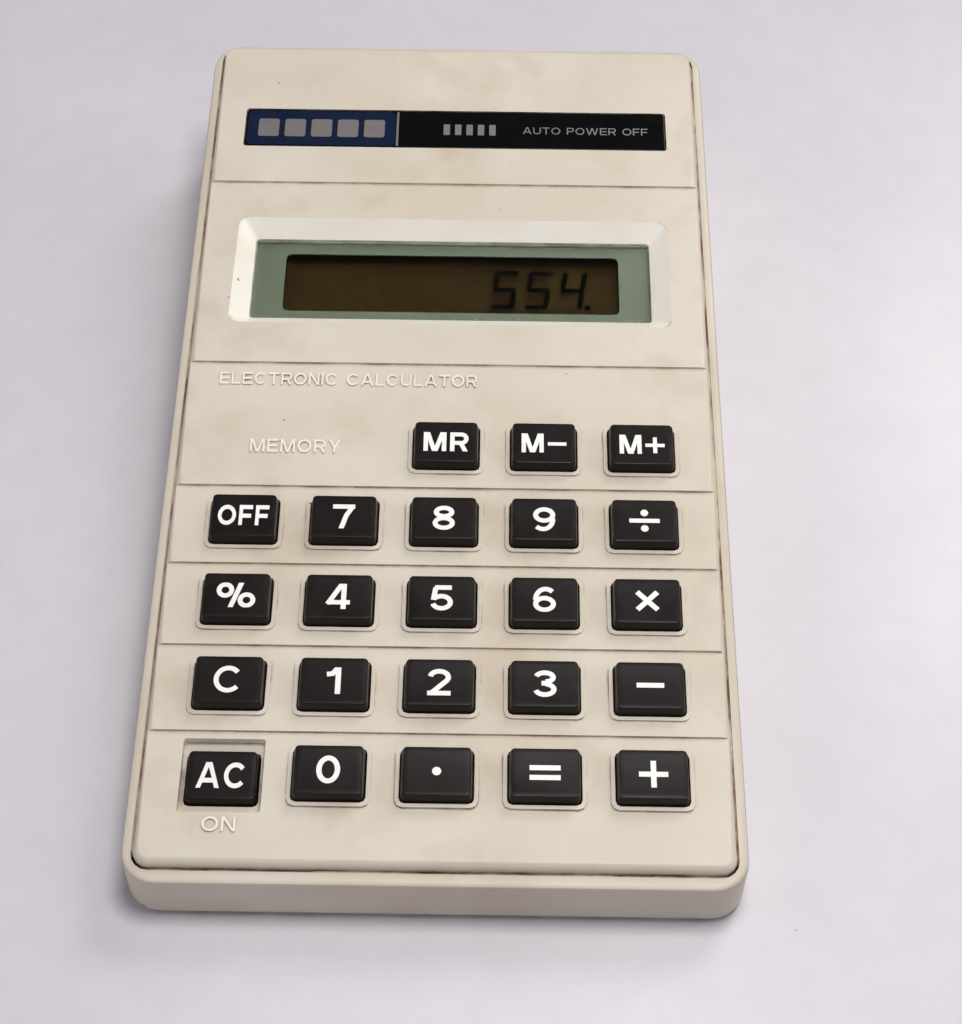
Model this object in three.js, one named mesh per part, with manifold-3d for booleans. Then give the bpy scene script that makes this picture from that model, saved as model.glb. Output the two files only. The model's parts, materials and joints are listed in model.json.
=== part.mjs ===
// Pocket calculator: a wedge-shaped moulded case, a stepped front panel, 23 keys
// on a rubber mat, a liquid crystal display and two AA cells behind a sliding door.
// Millimetres. X runs to the right, +Y towards the display end, +Z up.
// The origin is the middle of the footprint, on the table.
import * as THREE from 'three';
import { mergeVertices } from 'three/addons/utils/BufferGeometryUtils.js';
import Module from 'manifold-3d';

const wasm = await Module();
wasm.setup();

// ---- driving dimensions -------------------------------------------------------------

// Case
const bodyWidth = 70;
const bodyCornerRadius = 4;
const caseWall = 2.2;
const caseFloor = 1.5;
const baseEdgeRadius = 1.1;
const rimEdgeRadius = 0.6;
const rimSide = 1.45;
const rimFront = 1.75;
const rimRear = 1.45;
const rimDrop = 0.8;
const frontFaceHeight = 8.4;

// Clearances
const panelEdgeGap = 0.3;
const seatGap = 0.3;
const stackGap = 0.15;
const keyGap = 0.15;
const slideGap = 0.2;
const cellGap = 0.3;

// Front panel. Places called "FromRear" run along the face from its rear edge.
const panelThickness = 1.6;
const panelSkirtDepth = 2.9;
const panelSkirtWall = 1.2;
const panelCornerRadius = 1.75;
const panelEdgeRadius = 1.0;
const stripStep = 0.35;
const displayOverBay = 5.0;
const displayStripLength = 31.0;
const memoryStripLength = 19.1;
const frontStripLength = 16.45;

// Keys
const keyPitchX = 12.2;
const keyPitchY = 11.28;
const keyColumns = 5;
const rowFromStripRear = 5.55;
const keyWidth = 8.2;
const keyDepth = 6.4;
const keyCornerRadius = 0.5;
const keyTopHeight = 2.05;
const keyShoulderHeight = 0.5;
const keyEdgeHeight = 0.2;
const keyTaper = 0.22;
const keyEdgeInset = 0.18;
const keyFlangeLip = 0.6;
const keyFlangeThickness = 0.8;
const collarWidth = 0.45;
const collarHeight = 0.55;

// The all-clear key lies in a well, with its top level with the face
const wellWidth = 9.4;
const wellDepthY = 9.2;
const wellFloorDepth = 1.1;
const wellCornerRadius = 0.3;
const clearKeyTopHeight = 0.15;

// Display
const recessWidth = 57.6;
const recessDepthY = 17.8;
const recessFromStripRear = 15.3;
const recessWallInset = 2.1;
const recessFloorDepth = 1.9;
const recessCornerRadius = 1.0;
const recessBossCornerRadius = 1.0;
const recessBossWall = 1.8;
const windowThickness = 0.8;
const windowCornerRadius = 0.4;
const maskThickness = 0.15;
const viewWidth = 45.0;
const viewDepthY = 9.8;
const viewCornerRadius = 0.8;
const glassWidth = 50.4;
const glassDepthY = 14.0;
const glassThickness = 0.7;
const glassLedge = 2.4;
const reflectorThickness = 0.15;
const holderWall = 1.3;
const holderShelf = 0.5;
const zebraThickness = 1.6;

// Name plate
const plateWidth = 58.7;
const plateDepthY = 6.9;
const plateFromRear = 15.65;
const plateThickness = 0.7;
const plateCornerRadius = 0.4;
const plateTopHeight = 0.15;

// Keypad mat and circuit board
const matThickness = 0.6;
const matCornerRadius = 1.5;
const matSideMargin = 2.1;
const matFrontMargin = 0.7;
const domeHeight = 2.05;
const domeBaseRadius = 3.5;
const domeTopRadius = 2.7;
const domeWall = 0.55;
const boardThickness = 1.0;
const boardSideMargin = 0.5;
const boardRearGap = 0.6;
const chipSize = new THREE.Vector3(14, 10, 1.6);
const chipLegCount = 9;
const chipLegWidth = 0.4;
const chipLegThickness = 0.3;
const chipLegReach = 1.3;
const chipLegRoot = 0.5;
const chipCornerRadius = 0.4;
const capacitorRadius = 2.2;
const capacitorLength = 7;
const capacitorX = 9;
const resistorRadius = 1.0;
const resistorLength = 6;
const resistorX = -6;

// Screws and posts
const boardPostRadius = 1.5;
const boardScrewRadius = 0.8;
const boardScrewHeadRadius = 1.5;
const boardScrewHeadHeight = 0.9;
const boardScrewLength = 4.2;
const casePostRadius = 2.2;
const caseScrewRadius = 1.0;
const caseScrewHeadRadius = 2.0;
const caseScrewHeadHeight = 1.2;
const caseScrewLength = 4.2;
const caseBossRadius = 3.6;
const caseBossHeight = 3.2;
const counterboreRadius = 2.35;
const counterboreDepth = 2.0;
const screwHoleClearance = 0.2;
const casePostFromSide = 7.0;
const casePostFromFront = 5.6;
const middlePostFromStripRear = 3.9;
const screwSlotWidth = 0.5;
const screwSlotDepth = 0.5;
const screwHeadTaper = 0.9;

// Battery bay: two AA cells side by side across the case
const cellRadius = 7.1;
const cellLength = 49.2;
const cellNubRadius = 2.75;
const cellNubLength = 1.0;
const cellEdge = 0.5;
const cellSpacing = 0.6;
const cellRearClearance = 0.5;
const cellHeadroom = 0.32;
const bayWall = 1.2;
const baySideRise = 3.1;
const bayFrontRise = 1.6;
const contactThickness = 0.5;
const contactHeight = 10;
const contactWidth = 9;
const contactSeatGap = 0.9;
const springLength = 3.2;
const springRadius = 3.0;
const springWireRadius = 0.35;
const springTurns = 2.5;
const leadRadius = 0.5;

// Battery door
const doorWidth = 52.6;
const doorEndHeight = 7.7;
const doorTongueWidth = 1.2;
const doorTongueThickness = 0.6;
const gripWidth = 18;
const gripGroove = 0.8;
const gripDepth = 0.45;
const gripPitch = 1.9;
const gripCount = 5;
const gripFromRear = 8;

// ---- sizes that follow --------------------------------------------------------------

// Along the face: the head strip lies over the battery bay
const cellRows = caseWall - rimRear + cellRearClearance;
const bayRun = cellRows + 4 * cellRadius + 2 * cellSpacing;
const headStripLength = bayRun - displayOverBay;
const displayStripRear = headStripLength;
const memoryStripRear = displayStripRear + displayStripLength;
const keyStripsRear = memoryStripRear + memoryStripLength;
const frontStripRear = keyStripsRear + 3 * keyPitchY;
const panelLength = frontStripRear + frontStripLength;

// The face slopes up from its front edge until the panel clears the front cell
const cellZ = caseFloor + cellGap + cellRadius;
const faceOverCell = cellZ + cellRadius + cellHeadroom + panelThickness;
const frontCellFromRear = cellRows + 3 * cellRadius + cellSpacing;
const faceTilt = Math.asin((faceOverCell - frontFaceHeight) / (panelLength - frontCellFromRear));

// The case
const bodyLength = panelLength * Math.cos(faceTilt) + rimFront + rimRear;
const frontY = -bodyLength / 2;
const rearY = bodyLength / 2;
const panelWidth = bodyWidth - 2 * rimSide;
const facePlace = new THREE.Vector3(0, frontY + rimFront, frontFaceHeight);
const caseScrewTip = counterboreDepth - seatGap + caseScrewLength;

// Keys, mat and board, by depth below the face
const apertureWidth = keyWidth + 2 * keyGap;
const apertureDepthY = keyDepth + 2 * keyGap;
const firstRowFromRear = keyStripsRear - keyPitchY + rowFromStripRear;
const flangeTopDepth = panelThickness + stackGap;
const flangeBottomDepth = flangeTopDepth + keyFlangeThickness;
const domeTopDepth = flangeBottomDepth + seatGap;
const matTopDepth = domeTopDepth + domeHeight;
const matWidth = (keyColumns - 1) * keyPitchX + 2 * (domeBaseRadius + matSideMargin);

// The display, by depth below the face
const recessFromRear = displayStripRear + recessFromStripRear;
const windowWidth = recessWidth - 2 * recessWallInset;
const windowDepthY = recessDepthY - 2 * recessWallInset;
const maskDepth = recessFloorDepth + windowThickness + stackGap;
const bossDepth = maskDepth + maskThickness;
const glassDepth = bossDepth + stackGap;
const rearGlassDepth = glassDepth + glassThickness + stackGap;
const reflectorDepth = rearGlassDepth + glassThickness + stackGap;
const shelfDepth = reflectorDepth + reflectorThickness + stackGap;
const boardTopDepth = Math.max(matTopDepth + matThickness + seatGap,
  shelfDepth + holderShelf + stackGap);
const boardBottomDepth = boardTopDepth + boardThickness;
const holderWidth = glassWidth + 4 * stackGap + 2 * holderWall;
const holderDepthY = glassDepthY + 4 * stackGap + 2 * holderWall;
const boardWidth = Math.max(matWidth, holderWidth + 12 * leadRadius) + 2 * boardSideMargin;

// The battery bay
const rearCellY = rearY - caseWall - cellRearClearance - cellRadius;
const frontCellY = rearCellY - 2 * cellRadius - cellSpacing;
const bayFrontY = frontCellY - cellRadius - cellSpacing;
const bayHalfLength = (cellLength + cellNubLength + springLength) / 2 + cellGap;
const contactX = bayHalfLength + contactThickness / 2;
const baySideX = contactX + contactThickness / 2 + contactSeatGap;
const doorFrontY = bayFrontY + contactSeatGap;
const baySideHeight = cellZ + baySideRise;
const bayFrontHeight = cellZ + bayFrontRise;

const localY = (fromRear) => panelLength - fromRear;
const columnX = (column) => (column - (keyColumns - 1) / 2) * keyPitchX;
const rowY = (row) => localY(firstRowFromRear + row * keyPitchY);

// The face group is turned about X so that the display end stands higher
const faceMatrix = new THREE.Matrix4().makeRotationX(faceTilt).setPosition(facePlace);
const worldToFace = faceMatrix.clone().invert();

// ---- materials ----------------------------------------------------------------------

const paint = (color, roughness, metalness = 0) =>
  new THREE.MeshStandardMaterial({ color, roughness, metalness });

const finishes = {
  panel: () => paint(0xcdc5b6, 0.45),
  case: () => paint(0xd2c8aa, 0.45),
  key: () => paint(0x2a2324, 0.4),
  plate: () => paint(0x15161c, 0.3),
  window: () => paint(0x9fb0a8, 0.05),
  mask: () => paint(0x5f7369, 0.5),
  glass: () => paint(0x4a4538, 0.1),
  reflector: () => paint(0xb8b4a2, 0.35, 0.6),
  rubber: () => paint(0x8d8a86, 0.8),
  board: () => paint(0x7a6b35, 0.5),
  chip: () => paint(0x1b1b1d, 0.5),
  capacitor: () => paint(0x2c4470, 0.4),
  resistor: () => paint(0xc9a66b, 0.5),
  steel: () => paint(0xb9babd, 0.35, 0.9),
  cell: () => paint(0x6d7f3f, 0.4, 0.3),
  redLead: () => paint(0xa32822, 0.5),
  blackLead: () => paint(0x1c1c1e, 0.5),
  zebra: () => paint(0x4d4d52, 0.7),
};

// ---- geometry helpers ---------------------------------------------------------------

// A closed three.js geometry as a solid that can be joined and cut
function solid(geometry) {
  const bare = geometry.clone();
  bare.deleteAttribute('normal');
  bare.deleteAttribute('uv');
  const merged = mergeVertices(bare, 1e-4);
  return new wasm.Manifold(new wasm.Mesh({
    numProp: 3,
    vertProperties: new Float32Array(merged.attributes.position.array),
    triVerts: new Uint32Array(merged.index.array),
  }));
}

function meshFrom(shape, name, material) {
  const result = shape.getMesh();
  const geometry = new THREE.BufferGeometry();
  geometry.setAttribute('position', new THREE.BufferAttribute(result.vertProperties, 3));
  geometry.setIndex(new THREE.BufferAttribute(result.triVerts, 1));
  geometry.computeVertexNormals();
  const mesh = new THREE.Mesh(geometry, material);
  mesh.name = name;
  return mesh;
}

// Points round a rectangle with rounded corners, anticlockwise
function outline(width, depth, radius, steps) {
  const points = [];
  const corners = [[1, 1, 0], [-1, 1, 1], [-1, -1, 2], [1, -1, 3]];
  for (const [signX, signY, quarter] of corners) {
    const centreX = signX * (width / 2 - radius);
    const centreY = signY * (depth / 2 - radius);
    for (let i = 0; i <= steps; i += 1) {
      const angle = (quarter + i / steps) * Math.PI / 2;
      points.push([centreX + radius * Math.cos(angle), centreY + radius * Math.sin(angle)]);
    }
  }
  return points;
}

// A solid through rings of points, lowest ring first; the height may follow Y
function loft(rings) {
  const count = rings[0].length;
  const positions = rings.flat(2);
  const index = [];
  const last = (rings.length - 1) * count;
  for (let i = 1; i < count - 1; i += 1) {
    index.push(0, i + 1, i);
    index.push(last, last + i, last + i + 1);
  }
  for (let ring = 0; ring < rings.length - 1; ring += 1) {
    for (let i = 0; i < count; i += 1) {
      const a = ring * count + i;
      const b = ring * count + (i + 1) % count;
      index.push(a, b, b + count);
      index.push(a, b + count, a + count);
    }
  }
  const geometry = new THREE.BufferGeometry();
  geometry.setAttribute('position', new THREE.Float32BufferAttribute(positions, 3));
  geometry.setIndex(index);
  return geometry;
}

// One ring of a loft: a rounded rectangle at a height, or at a height that follows Y
function ring(width, depth, radius, steps, height) {
  const heightAt = typeof height === 'function' ? height : () => height;
  return outline(width, depth, radius, steps).map(([x, y]) => [x, y, heightAt(y)]);
}

function roundedBlock(width, depth, radius, low, high, steps = 2) {
  return solid(loft([ring(width, depth, radius, steps, low), ring(width, depth, radius, steps, high)]));
}

function block(x0, x1, y0, y1, z0, z1) {
  const geometry = new THREE.BoxGeometry(x1 - x0, y1 - y0, z1 - z0);
  geometry.translate((x0 + x1) / 2, (y0 + y1) / 2, (z0 + z1) / 2);
  return solid(geometry);
}

// A cylinder or cone standing on Z
function post(x, y, low, high, radius, sides = 16, topRadius = radius) {
  const geometry = new THREE.CylinderGeometry(topRadius, radius, high - low, sides);
  geometry.rotateX(Math.PI / 2);
  geometry.translate(x, y, (low + high) / 2);
  return solid(geometry);
}

// A vertical post given in the case's frame, for use in the face group
function postInFace(x, y, low, high, radius, sides = 16) {
  const geometry = new THREE.CylinderGeometry(radius, radius, high - low, sides);
  geometry.rotateX(Math.PI / 2);
  geometry.translate(x, y, (low + high) / 2);
  geometry.applyMatrix4(worldToFace);
  return solid(geometry);
}

const moved = (shape, x, y, z = 0) => shape.translate([x, y, z]);

function tube(points, radius, sides, steps) {
  const curve = new THREE.CatmullRomCurve3(points);
  const section = new THREE.Shape();
  for (let i = 0; i < sides; i += 1) {
    const angle = i / sides * 2 * Math.PI;
    const x = radius * Math.cos(angle);
    const y = radius * Math.sin(angle);
    if (i === 0) section.moveTo(x, y);
    else section.lineTo(x, y);
  }
  section.closePath();
  return solid(new THREE.ExtrudeGeometry(section, { steps, extrudePath: curve, bevelEnabled: false }));
}

// ---- case, door and screws ----------------------------------------------------------

const rimHeightAt = (y) =>
  frontFaceHeight - rimDrop / Math.cos(faceTilt) + (y - facePlace.y) * Math.tan(faceTilt);

const casePosts = [-1, 1].flatMap((side) => {
  const x = side * (bodyWidth / 2 - casePostFromSide);
  const middle = localY(memoryStripRear + middlePostFromStripRear);
  const middleY = facePlace.y + middle * Math.cos(faceTilt);
  return [[x, frontY + casePostFromFront], [x, middleY]];
});

function caseRing(inset, height) {
  return ring(bodyWidth - 2 * inset, bodyLength - 2 * inset, bodyCornerRadius - inset, 6, height);
}

// The outer shape: a flat base with rounded edges, upright walls and a sloping rim
function caseOutside() {
  const rings = [];
  for (const angle of [0, 30, 60, 90]) {
    const turn = THREE.MathUtils.degToRad(angle);
    const inset = baseEdgeRadius * (1 - Math.sin(turn));
    rings.push(caseRing(inset, baseEdgeRadius * (1 - Math.cos(turn))));
  }
  for (const angle of [0, 45, 90]) {
    const turn = THREE.MathUtils.degToRad(angle);
    const inset = rimEdgeRadius * (1 - Math.cos(turn));
    const drop = rimEdgeRadius * (1 - Math.sin(turn));
    rings.push(caseRing(inset, (y) => rimHeightAt(y) - drop));
  }
  return solid(loft(rings));
}

function caseInside() {
  const width = bodyWidth - 2 * caseWall;
  const length = bodyLength - 2 * caseWall;
  const radius = bodyCornerRadius - caseWall;
  return roundedBlock(width, length, radius, caseFloor, caseFloor + bodyLength, 4);
}

// The step round the inside of the rim, which the front panel drops into
function panelPocket() {
  const width = panelWidth + 2 * panelEdgeGap;
  const length = panelLength + 2 * panelEdgeGap;
  const low = -panelSkirtDepth - seatGap;
  const rings = [low, low + bodyLength].map((z) =>
    ring(width, length, panelCornerRadius + panelEdgeGap, 4, z));
  const geometry = loft(rings);
  geometry.translate(0, panelLength / 2, 0);
  geometry.applyMatrix4(faceMatrix);
  return solid(geometry);
}

// Every place that the door takes in the case, grown by a clearance on each side.
// Its end stands in the rear wall and is wide enough to cover both guide channels.
function doorSpace(gap) {
  const half = doorWidth / 2 + gap;
  const reach = half + doorTongueWidth;
  const outward = rearY + bodyLength;
  const endY = rearY - caseWall - gap;
  const tongueLow = caseFloor - doorTongueThickness - gap;
  const floorPart = block(-half, half, doorFrontY - gap, outward, -1, caseFloor + gap);
  const tongues = block(-reach, reach, doorFrontY - gap, outward, tongueLow, caseFloor + gap);
  const endPart = block(-reach, reach, endY, outward, -1, doorEndHeight + gap);
  return floorPart.add(tongues).add(endPart);
}

function lowerCase() {
  let shape = caseOutside().subtract(caseInside()).subtract(panelPocket());
  const insideX = bodyWidth / 2 - caseWall / 2;
  shape = shape.add(block(-insideX, insideX, bayFrontY - bayWall, bayFrontY,
    caseFloor / 2, bayFrontHeight));
  for (const side of [-1, 1]) {
    const inner = side * baySideX;
    const outer = side * (baySideX + bayWall);
    shape = shape.add(block(Math.min(inner, outer), Math.max(inner, outer),
      bayFrontY - bayWall / 2, rearY - caseWall / 2, caseFloor / 2, baySideHeight));
  }
  for (const [x, y] of casePosts) {
    shape = shape.add(post(x, y, caseFloor / 2, caseBossHeight, caseBossRadius, 20));
    shape = shape.subtract(post(x, y, -1, counterboreDepth, counterboreRadius, 20));
    shape = shape.subtract(post(x, y, 0, caseBossHeight + 1,
      caseScrewRadius + screwHoleClearance, 12));
  }
  return shape.subtract(doorSpace(slideGap));
}

// The door is the part of the same shell that closes the bay, with grooves for a thumb
function batteryDoor() {
  let shape = caseOutside().subtract(caseInside()).intersect(doorSpace(0));
  for (let i = 0; i < gripCount; i += 1) {
    const y = rearY - gripFromRear - i * gripPitch;
    shape = shape.subtract(block(-gripWidth / 2, gripWidth / 2, y - gripGroove / 2,
      y + gripGroove / 2, -1, gripDepth));
  }
  return shape;
}

// A pan-head screw with its head at the bottom and a slot across it
function screw(headRadius, headHeight, shankRadius, shankLength) {
  const head = post(0, 0, 0, headHeight, headRadius * screwHeadTaper, 16, headRadius);
  const shank = post(0, 0, headHeight / 2, headHeight + shankLength, shankRadius, 10);
  const slot = block(-headRadius * 2, headRadius * 2, -screwSlotWidth / 2, screwSlotWidth / 2,
    -1, screwSlotDepth);
  return head.add(shank).subtract(slot);
}

// ---- front panel --------------------------------------------------------------------

const stripLengths = [headStripLength, displayStripLength, memoryStripLength,
  keyPitchY, keyPitchY, keyPitchY, frontStripLength];

// The face seen from the side: each strip rises a step from its rear to its front
function shingledFace() {
  const beyond = panelEdgeRadius;
  const profile = new THREE.Shape();
  profile.moveTo(panelLength + beyond, -panelSkirtDepth - beyond);
  profile.lineTo(panelLength + beyond, 0);
  let fromRear = 0;
  for (const length of stripLengths) {
    profile.lineTo(localY(fromRear), 0);
    fromRear += length;
    profile.lineTo(localY(fromRear), stripStep);
  }
  profile.lineTo(-beyond, stripStep);
  profile.lineTo(-beyond, -panelSkirtDepth - beyond);
  profile.closePath();
  const geometry = new THREE.ExtrudeGeometry(profile,
    { depth: panelWidth + 2 * beyond, bevelEnabled: false });
  geometry.rotateX(Math.PI / 2);
  geometry.rotateZ(Math.PI / 2);
  geometry.translate(-panelWidth / 2 - beyond, 0, 0);
  return solid(geometry);
}

// The outside of the whole panel, with rounded corners and rounded upper edges
function panelEnvelope() {
  const rings = [ring(panelWidth, panelLength, panelCornerRadius, 5, -panelSkirtDepth)];
  for (const angle of [0, 18, 36, 54, 72, 90]) {
    const turn = THREE.MathUtils.degToRad(angle);
    const inset = panelEdgeRadius * (1 - Math.cos(turn));
    const drop = panelEdgeRadius * (1 - Math.sin(turn));
    rings.push(ring(panelWidth - 2 * inset, panelLength - 2 * inset,
      panelCornerRadius - inset, 5, stripStep - drop));
  }
  return moved(solid(loft(rings)), 0, panelLength / 2);
}

// The sloping walls round the display and the straight opening that the window fills
function displayOpening() {
  const above = collarHeight;
  const grow = (above / recessFloorDepth) * recessWallInset;
  const slope = solid(loft([
    ring(windowWidth, windowDepthY, windowCornerRadius, 3, -recessFloorDepth),
    ring(recessWidth, recessDepthY, recessCornerRadius, 3, 0),
    ring(recessWidth + 2 * grow, recessDepthY + 2 * grow, recessCornerRadius, 3, above),
  ]));
  return slope.add(roundedBlock(windowWidth, windowDepthY, windowCornerRadius,
    -panelSkirtDepth - 1, -recessFloorDepth / 2));
}

const boardScrewPlaces = [-1, 1].flatMap((side) => [0, 3].map((row) =>
  [side * 1.5 * keyPitchX, (rowY(row) + rowY(row + 1)) / 2]));

function frontPanel(keys) {
  let shape = shingledFace().intersect(panelEnvelope());
  const hollow = roundedBlock(panelWidth - 2 * panelSkirtWall, panelLength - 2 * panelSkirtWall,
    panelCornerRadius - panelSkirtWall, -panelSkirtDepth - 1, -panelThickness);
  shape = shape.subtract(moved(hollow, 0, panelLength / 2));

  const displayY = localY(recessFromRear);
  const boss = roundedBlock(windowWidth + 2 * recessBossWall, windowDepthY + 2 * recessBossWall,
    recessBossCornerRadius, -bossDepth, -panelThickness / 2);
  shape = shape.add(moved(boss, 0, displayY)).subtract(moved(displayOpening(), 0, displayY));

  const plateSeat = roundedBlock(plateWidth + 2 * stackGap, plateDepthY + 2 * stackGap,
    plateCornerRadius, plateTopHeight - plateThickness - seatGap, 2);
  shape = shape.subtract(moved(plateSeat, 0, localY(plateFromRear)));

  for (const key of keys) {
    if (key.well) {
      const well = roundedBlock(wellWidth, wellDepthY, wellCornerRadius, -wellFloorDepth, 2);
      shape = shape.subtract(moved(well, key.x, key.y));
    } else {
      const collar = roundedBlock(apertureWidth + 2 * collarWidth,
        apertureDepthY + 2 * collarWidth, keyCornerRadius + keyGap + collarWidth / 2,
        -panelThickness / 2, collarHeight);
      shape = shape.add(moved(collar, key.x, key.y));
    }
    const aperture = roundedBlock(apertureWidth, apertureDepthY, keyCornerRadius + keyGap,
      -panelSkirtDepth - 1, 2);
    shape = shape.subtract(moved(aperture, key.x, key.y));
  }

  for (const [x, y] of boardScrewPlaces) {
    const low = -boardTopDepth + seatGap;
    shape = shape.add(post(x, y, low, -panelThickness / 2, boardPostRadius, 12));
    shape = shape.subtract(post(x, y, low - 1, -panelThickness,
      boardScrewRadius + screwHoleClearance, 8));
  }
  for (const [x, y] of casePosts) {
    const low = caseBossHeight + seatGap;
    const top = rimHeightAt(y) + rimDrop - panelThickness / 2;
    shape = shape.add(postInFace(x, y, low, top, casePostRadius, 16));
    shape = shape.subtract(postInFace(x, y, low - 1, caseScrewTip + seatGap,
      caseScrewRadius + screwHoleClearance, 10));
  }
  return shape;
}

// ---- keys ---------------------------------------------------------------------------

const keyRows = [
  [null, null, 'key_memory_recall', 'key_memory_minus', 'key_memory_plus'],
  ['key_off', 'key_7', 'key_8', 'key_9', 'key_divide'],
  ['key_percent', 'key_4', 'key_5', 'key_6', 'key_multiply'],
  ['key_clear', 'key_1', 'key_2', 'key_3', 'key_minus'],
  ['key_on_all_clear', 'key_0', 'key_point', 'key_equals', 'key_plus'],
];

const keys = keyRows.flatMap((names, row) => names.map((name, column) =>
  ({ name, x: columnX(column), y: rowY(row), well: name === 'key_on_all_clear' })))
  .filter((key) => key.name);

// A cap with tapered sides on a flange that keeps it under the panel
function keyCap(topHeight) {
  const steps = 2;
  const flangeWidth = keyWidth + 2 * keyFlangeLip;
  const flangeDepth = keyDepth + 2 * keyFlangeLip;
  const shoulder = Math.min(keyShoulderHeight, topHeight - (keyTopHeight - keyShoulderHeight));
  const taperTop = topHeight - keyEdgeHeight;
  const topInset = keyTaper + keyEdgeInset;
  return solid(loft([
    ring(flangeWidth, flangeDepth, keyCornerRadius, steps, -flangeBottomDepth),
    ring(flangeWidth, flangeDepth, keyCornerRadius, steps, -flangeTopDepth),
    ring(keyWidth, keyDepth, keyCornerRadius, steps, -flangeTopDepth),
    ring(keyWidth, keyDepth, keyCornerRadius, steps, shoulder),
    ring(keyWidth - 2 * keyTaper, keyDepth - 2 * keyTaper, keyCornerRadius, steps, taperTop),
    ring(keyWidth - 2 * topInset, keyDepth - 2 * topInset, keyCornerRadius, steps, topHeight),
  ]));
}

// ---- keypad mat, circuit board and what is on it -------------------------------------

const boardFrontY = rowY(keyRows.length - 1) - domeBaseRadius - matFrontMargin;
const boardRearY = (bayFrontY - bayWall - boardRearGap - facePlace.y
  - boardBottomDepth * Math.sin(faceTilt)) / Math.cos(faceTilt);
const matRearY = rowY(0) + domeBaseRadius + matSideMargin;

function rubberKeypad() {
  const low = -matTopDepth - matThickness;
  let shape = moved(roundedBlock(matWidth, matRearY - boardFrontY, matCornerRadius, low,
    -matTopDepth),
    0, (matRearY + boardFrontY) / 2);
  for (const key of keys) {
    shape = shape.add(post(key.x, key.y, -matTopDepth - matThickness / 2, -domeTopDepth,
      domeBaseRadius, 10, domeTopRadius));
  }
  for (const key of keys) {
    shape = shape.subtract(post(key.x, key.y, low - 1, -domeTopDepth - domeWall,
      domeBaseRadius - domeWall, 6, domeTopRadius - domeWall));
  }
  for (const [x, y] of boardScrewPlaces) {
    shape = shape.subtract(post(x, y, low - 1, 0, boardPostRadius + seatGap, 12));
  }
  return shape.subtract(casePostPassages());
}

// The room round the case posts and their bosses where they pass the mat and the board
function casePostPassages() {
  const passages = casePosts.flatMap(([x, y]) => [
    postInFace(x, y, 0, frontFaceHeight + bodyLength, casePostRadius + 2 * seatGap, 16),
    postInFace(x, y, 0, caseBossHeight + seatGap, caseBossRadius + seatGap, 20),
  ]);
  return passages.reduce((all, passage) => all.add(passage));
}

function circuitBoard() {
  let shape = block(-boardWidth / 2, boardWidth / 2, boardFrontY, boardRearY,
    -boardBottomDepth, -boardTopDepth);
  for (const [x, y] of boardScrewPlaces) {
    shape = shape.subtract(post(x, y, -boardBottomDepth - 1, 0,
      boardScrewRadius + screwHoleClearance, 10));
  }
  return shape.subtract(casePostPassages());
}

// A flat package with a row of legs on each long side
function processorChip() {
  const top = -boardBottomDepth - stackGap;
  const { x: width, y: depth, z: height } = chipSize;
  let shape = roundedBlock(width, depth, chipCornerRadius, top - height, top - height / 4, 1);
  const legPitch = width / (chipLegCount + 1);
  for (let i = 0; i < chipLegCount; i += 1) {
    const x = (i - (chipLegCount - 1) / 2) * legPitch;
    for (const side of [-1, 1]) {
      const inner = side * (depth / 2 - chipLegRoot);
      const outer = side * (depth / 2 + chipLegReach);
      shape = shape.add(block(x - chipLegWidth / 2, x + chipLegWidth / 2,
        Math.min(inner, outer), Math.max(inner, outer), top - height / 2,
        top - height / 2 + chipLegThickness));
    }
  }
  return moved(shape, 0, (rowY(1) + rowY(2)) / 2);
}

function lyingCylinder(radius, length, sides) {
  const geometry = new THREE.CylinderGeometry(radius, radius, length, sides);
  geometry.rotateZ(Math.PI / 2);
  return solid(geometry);
}

// ---- display ------------------------------------------------------------------------

function framedSheet(width, depth, openWidth, openDepth, openRadius, top, thickness) {
  const sheet = block(-width / 2, width / 2, -depth / 2, depth / 2, -top - thickness, -top);
  return sheet.subtract(roundedBlock(openWidth, openDepth, openRadius,
    -top - thickness - 1, -top + 1));
}

// The tray that carries the glass over the circuit board, with a slot for the connector
function displayHolder() {
  const low = -shelfDepth - holderShelf;
  const insideX = holderWidth / 2 - holderWall;
  const insideY = holderDepthY / 2 - holderWall;
  let shape = block(-holderWidth / 2, holderWidth / 2, -holderDepthY / 2, holderDepthY / 2,
    low, -glassDepth);
  shape = shape.subtract(block(-insideX, insideX, -insideY, insideY, -shelfDepth, 0));
  const slotY = -glassDepthY / 2 + glassLedge / 2;
  const slotHalf = zebraThickness / 2 + seatGap;
  shape = shape.subtract(block(-viewWidth / 2 - seatGap, viewWidth / 2 + seatGap,
    slotY - slotHalf, slotY + slotHalf, low - 1, 0));
  return shape.subtract(block(-viewWidth / 2, viewWidth / 2, 0, glassDepthY / 3, low - 1, 0));
}

// ---- battery contacts and cells ------------------------------------------------------

// A coil that stands on a contact plate and presses on the flat end of a cell
function contactSpring(side, y) {
  const points = [];
  const stepsPerTurn = 8;
  const total = springTurns * stepsPerTurn;
  const near = bayHalfLength + contactThickness / 2;
  for (let i = 0; i <= total; i += 1) {
    const angle = i / stepsPerTurn * 2 * Math.PI;
    const along = near - (springLength - cellGap) * i / total;
    points.push(new THREE.Vector3(side * along, y + springRadius * Math.cos(angle),
      cellZ + springRadius * Math.sin(angle)));
  }
  return tube(points, springWireRadius, 5, total);
}

function contactPlate(side, y, width) {
  const inner = side * (contactX - contactThickness / 2);
  const outer = side * (contactX + contactThickness / 2);
  return block(Math.min(inner, outer), Math.max(inner, outer), y - width / 2, y + width / 2,
    cellZ - contactHeight / 2, cellZ + contactHeight / 2);
}

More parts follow.
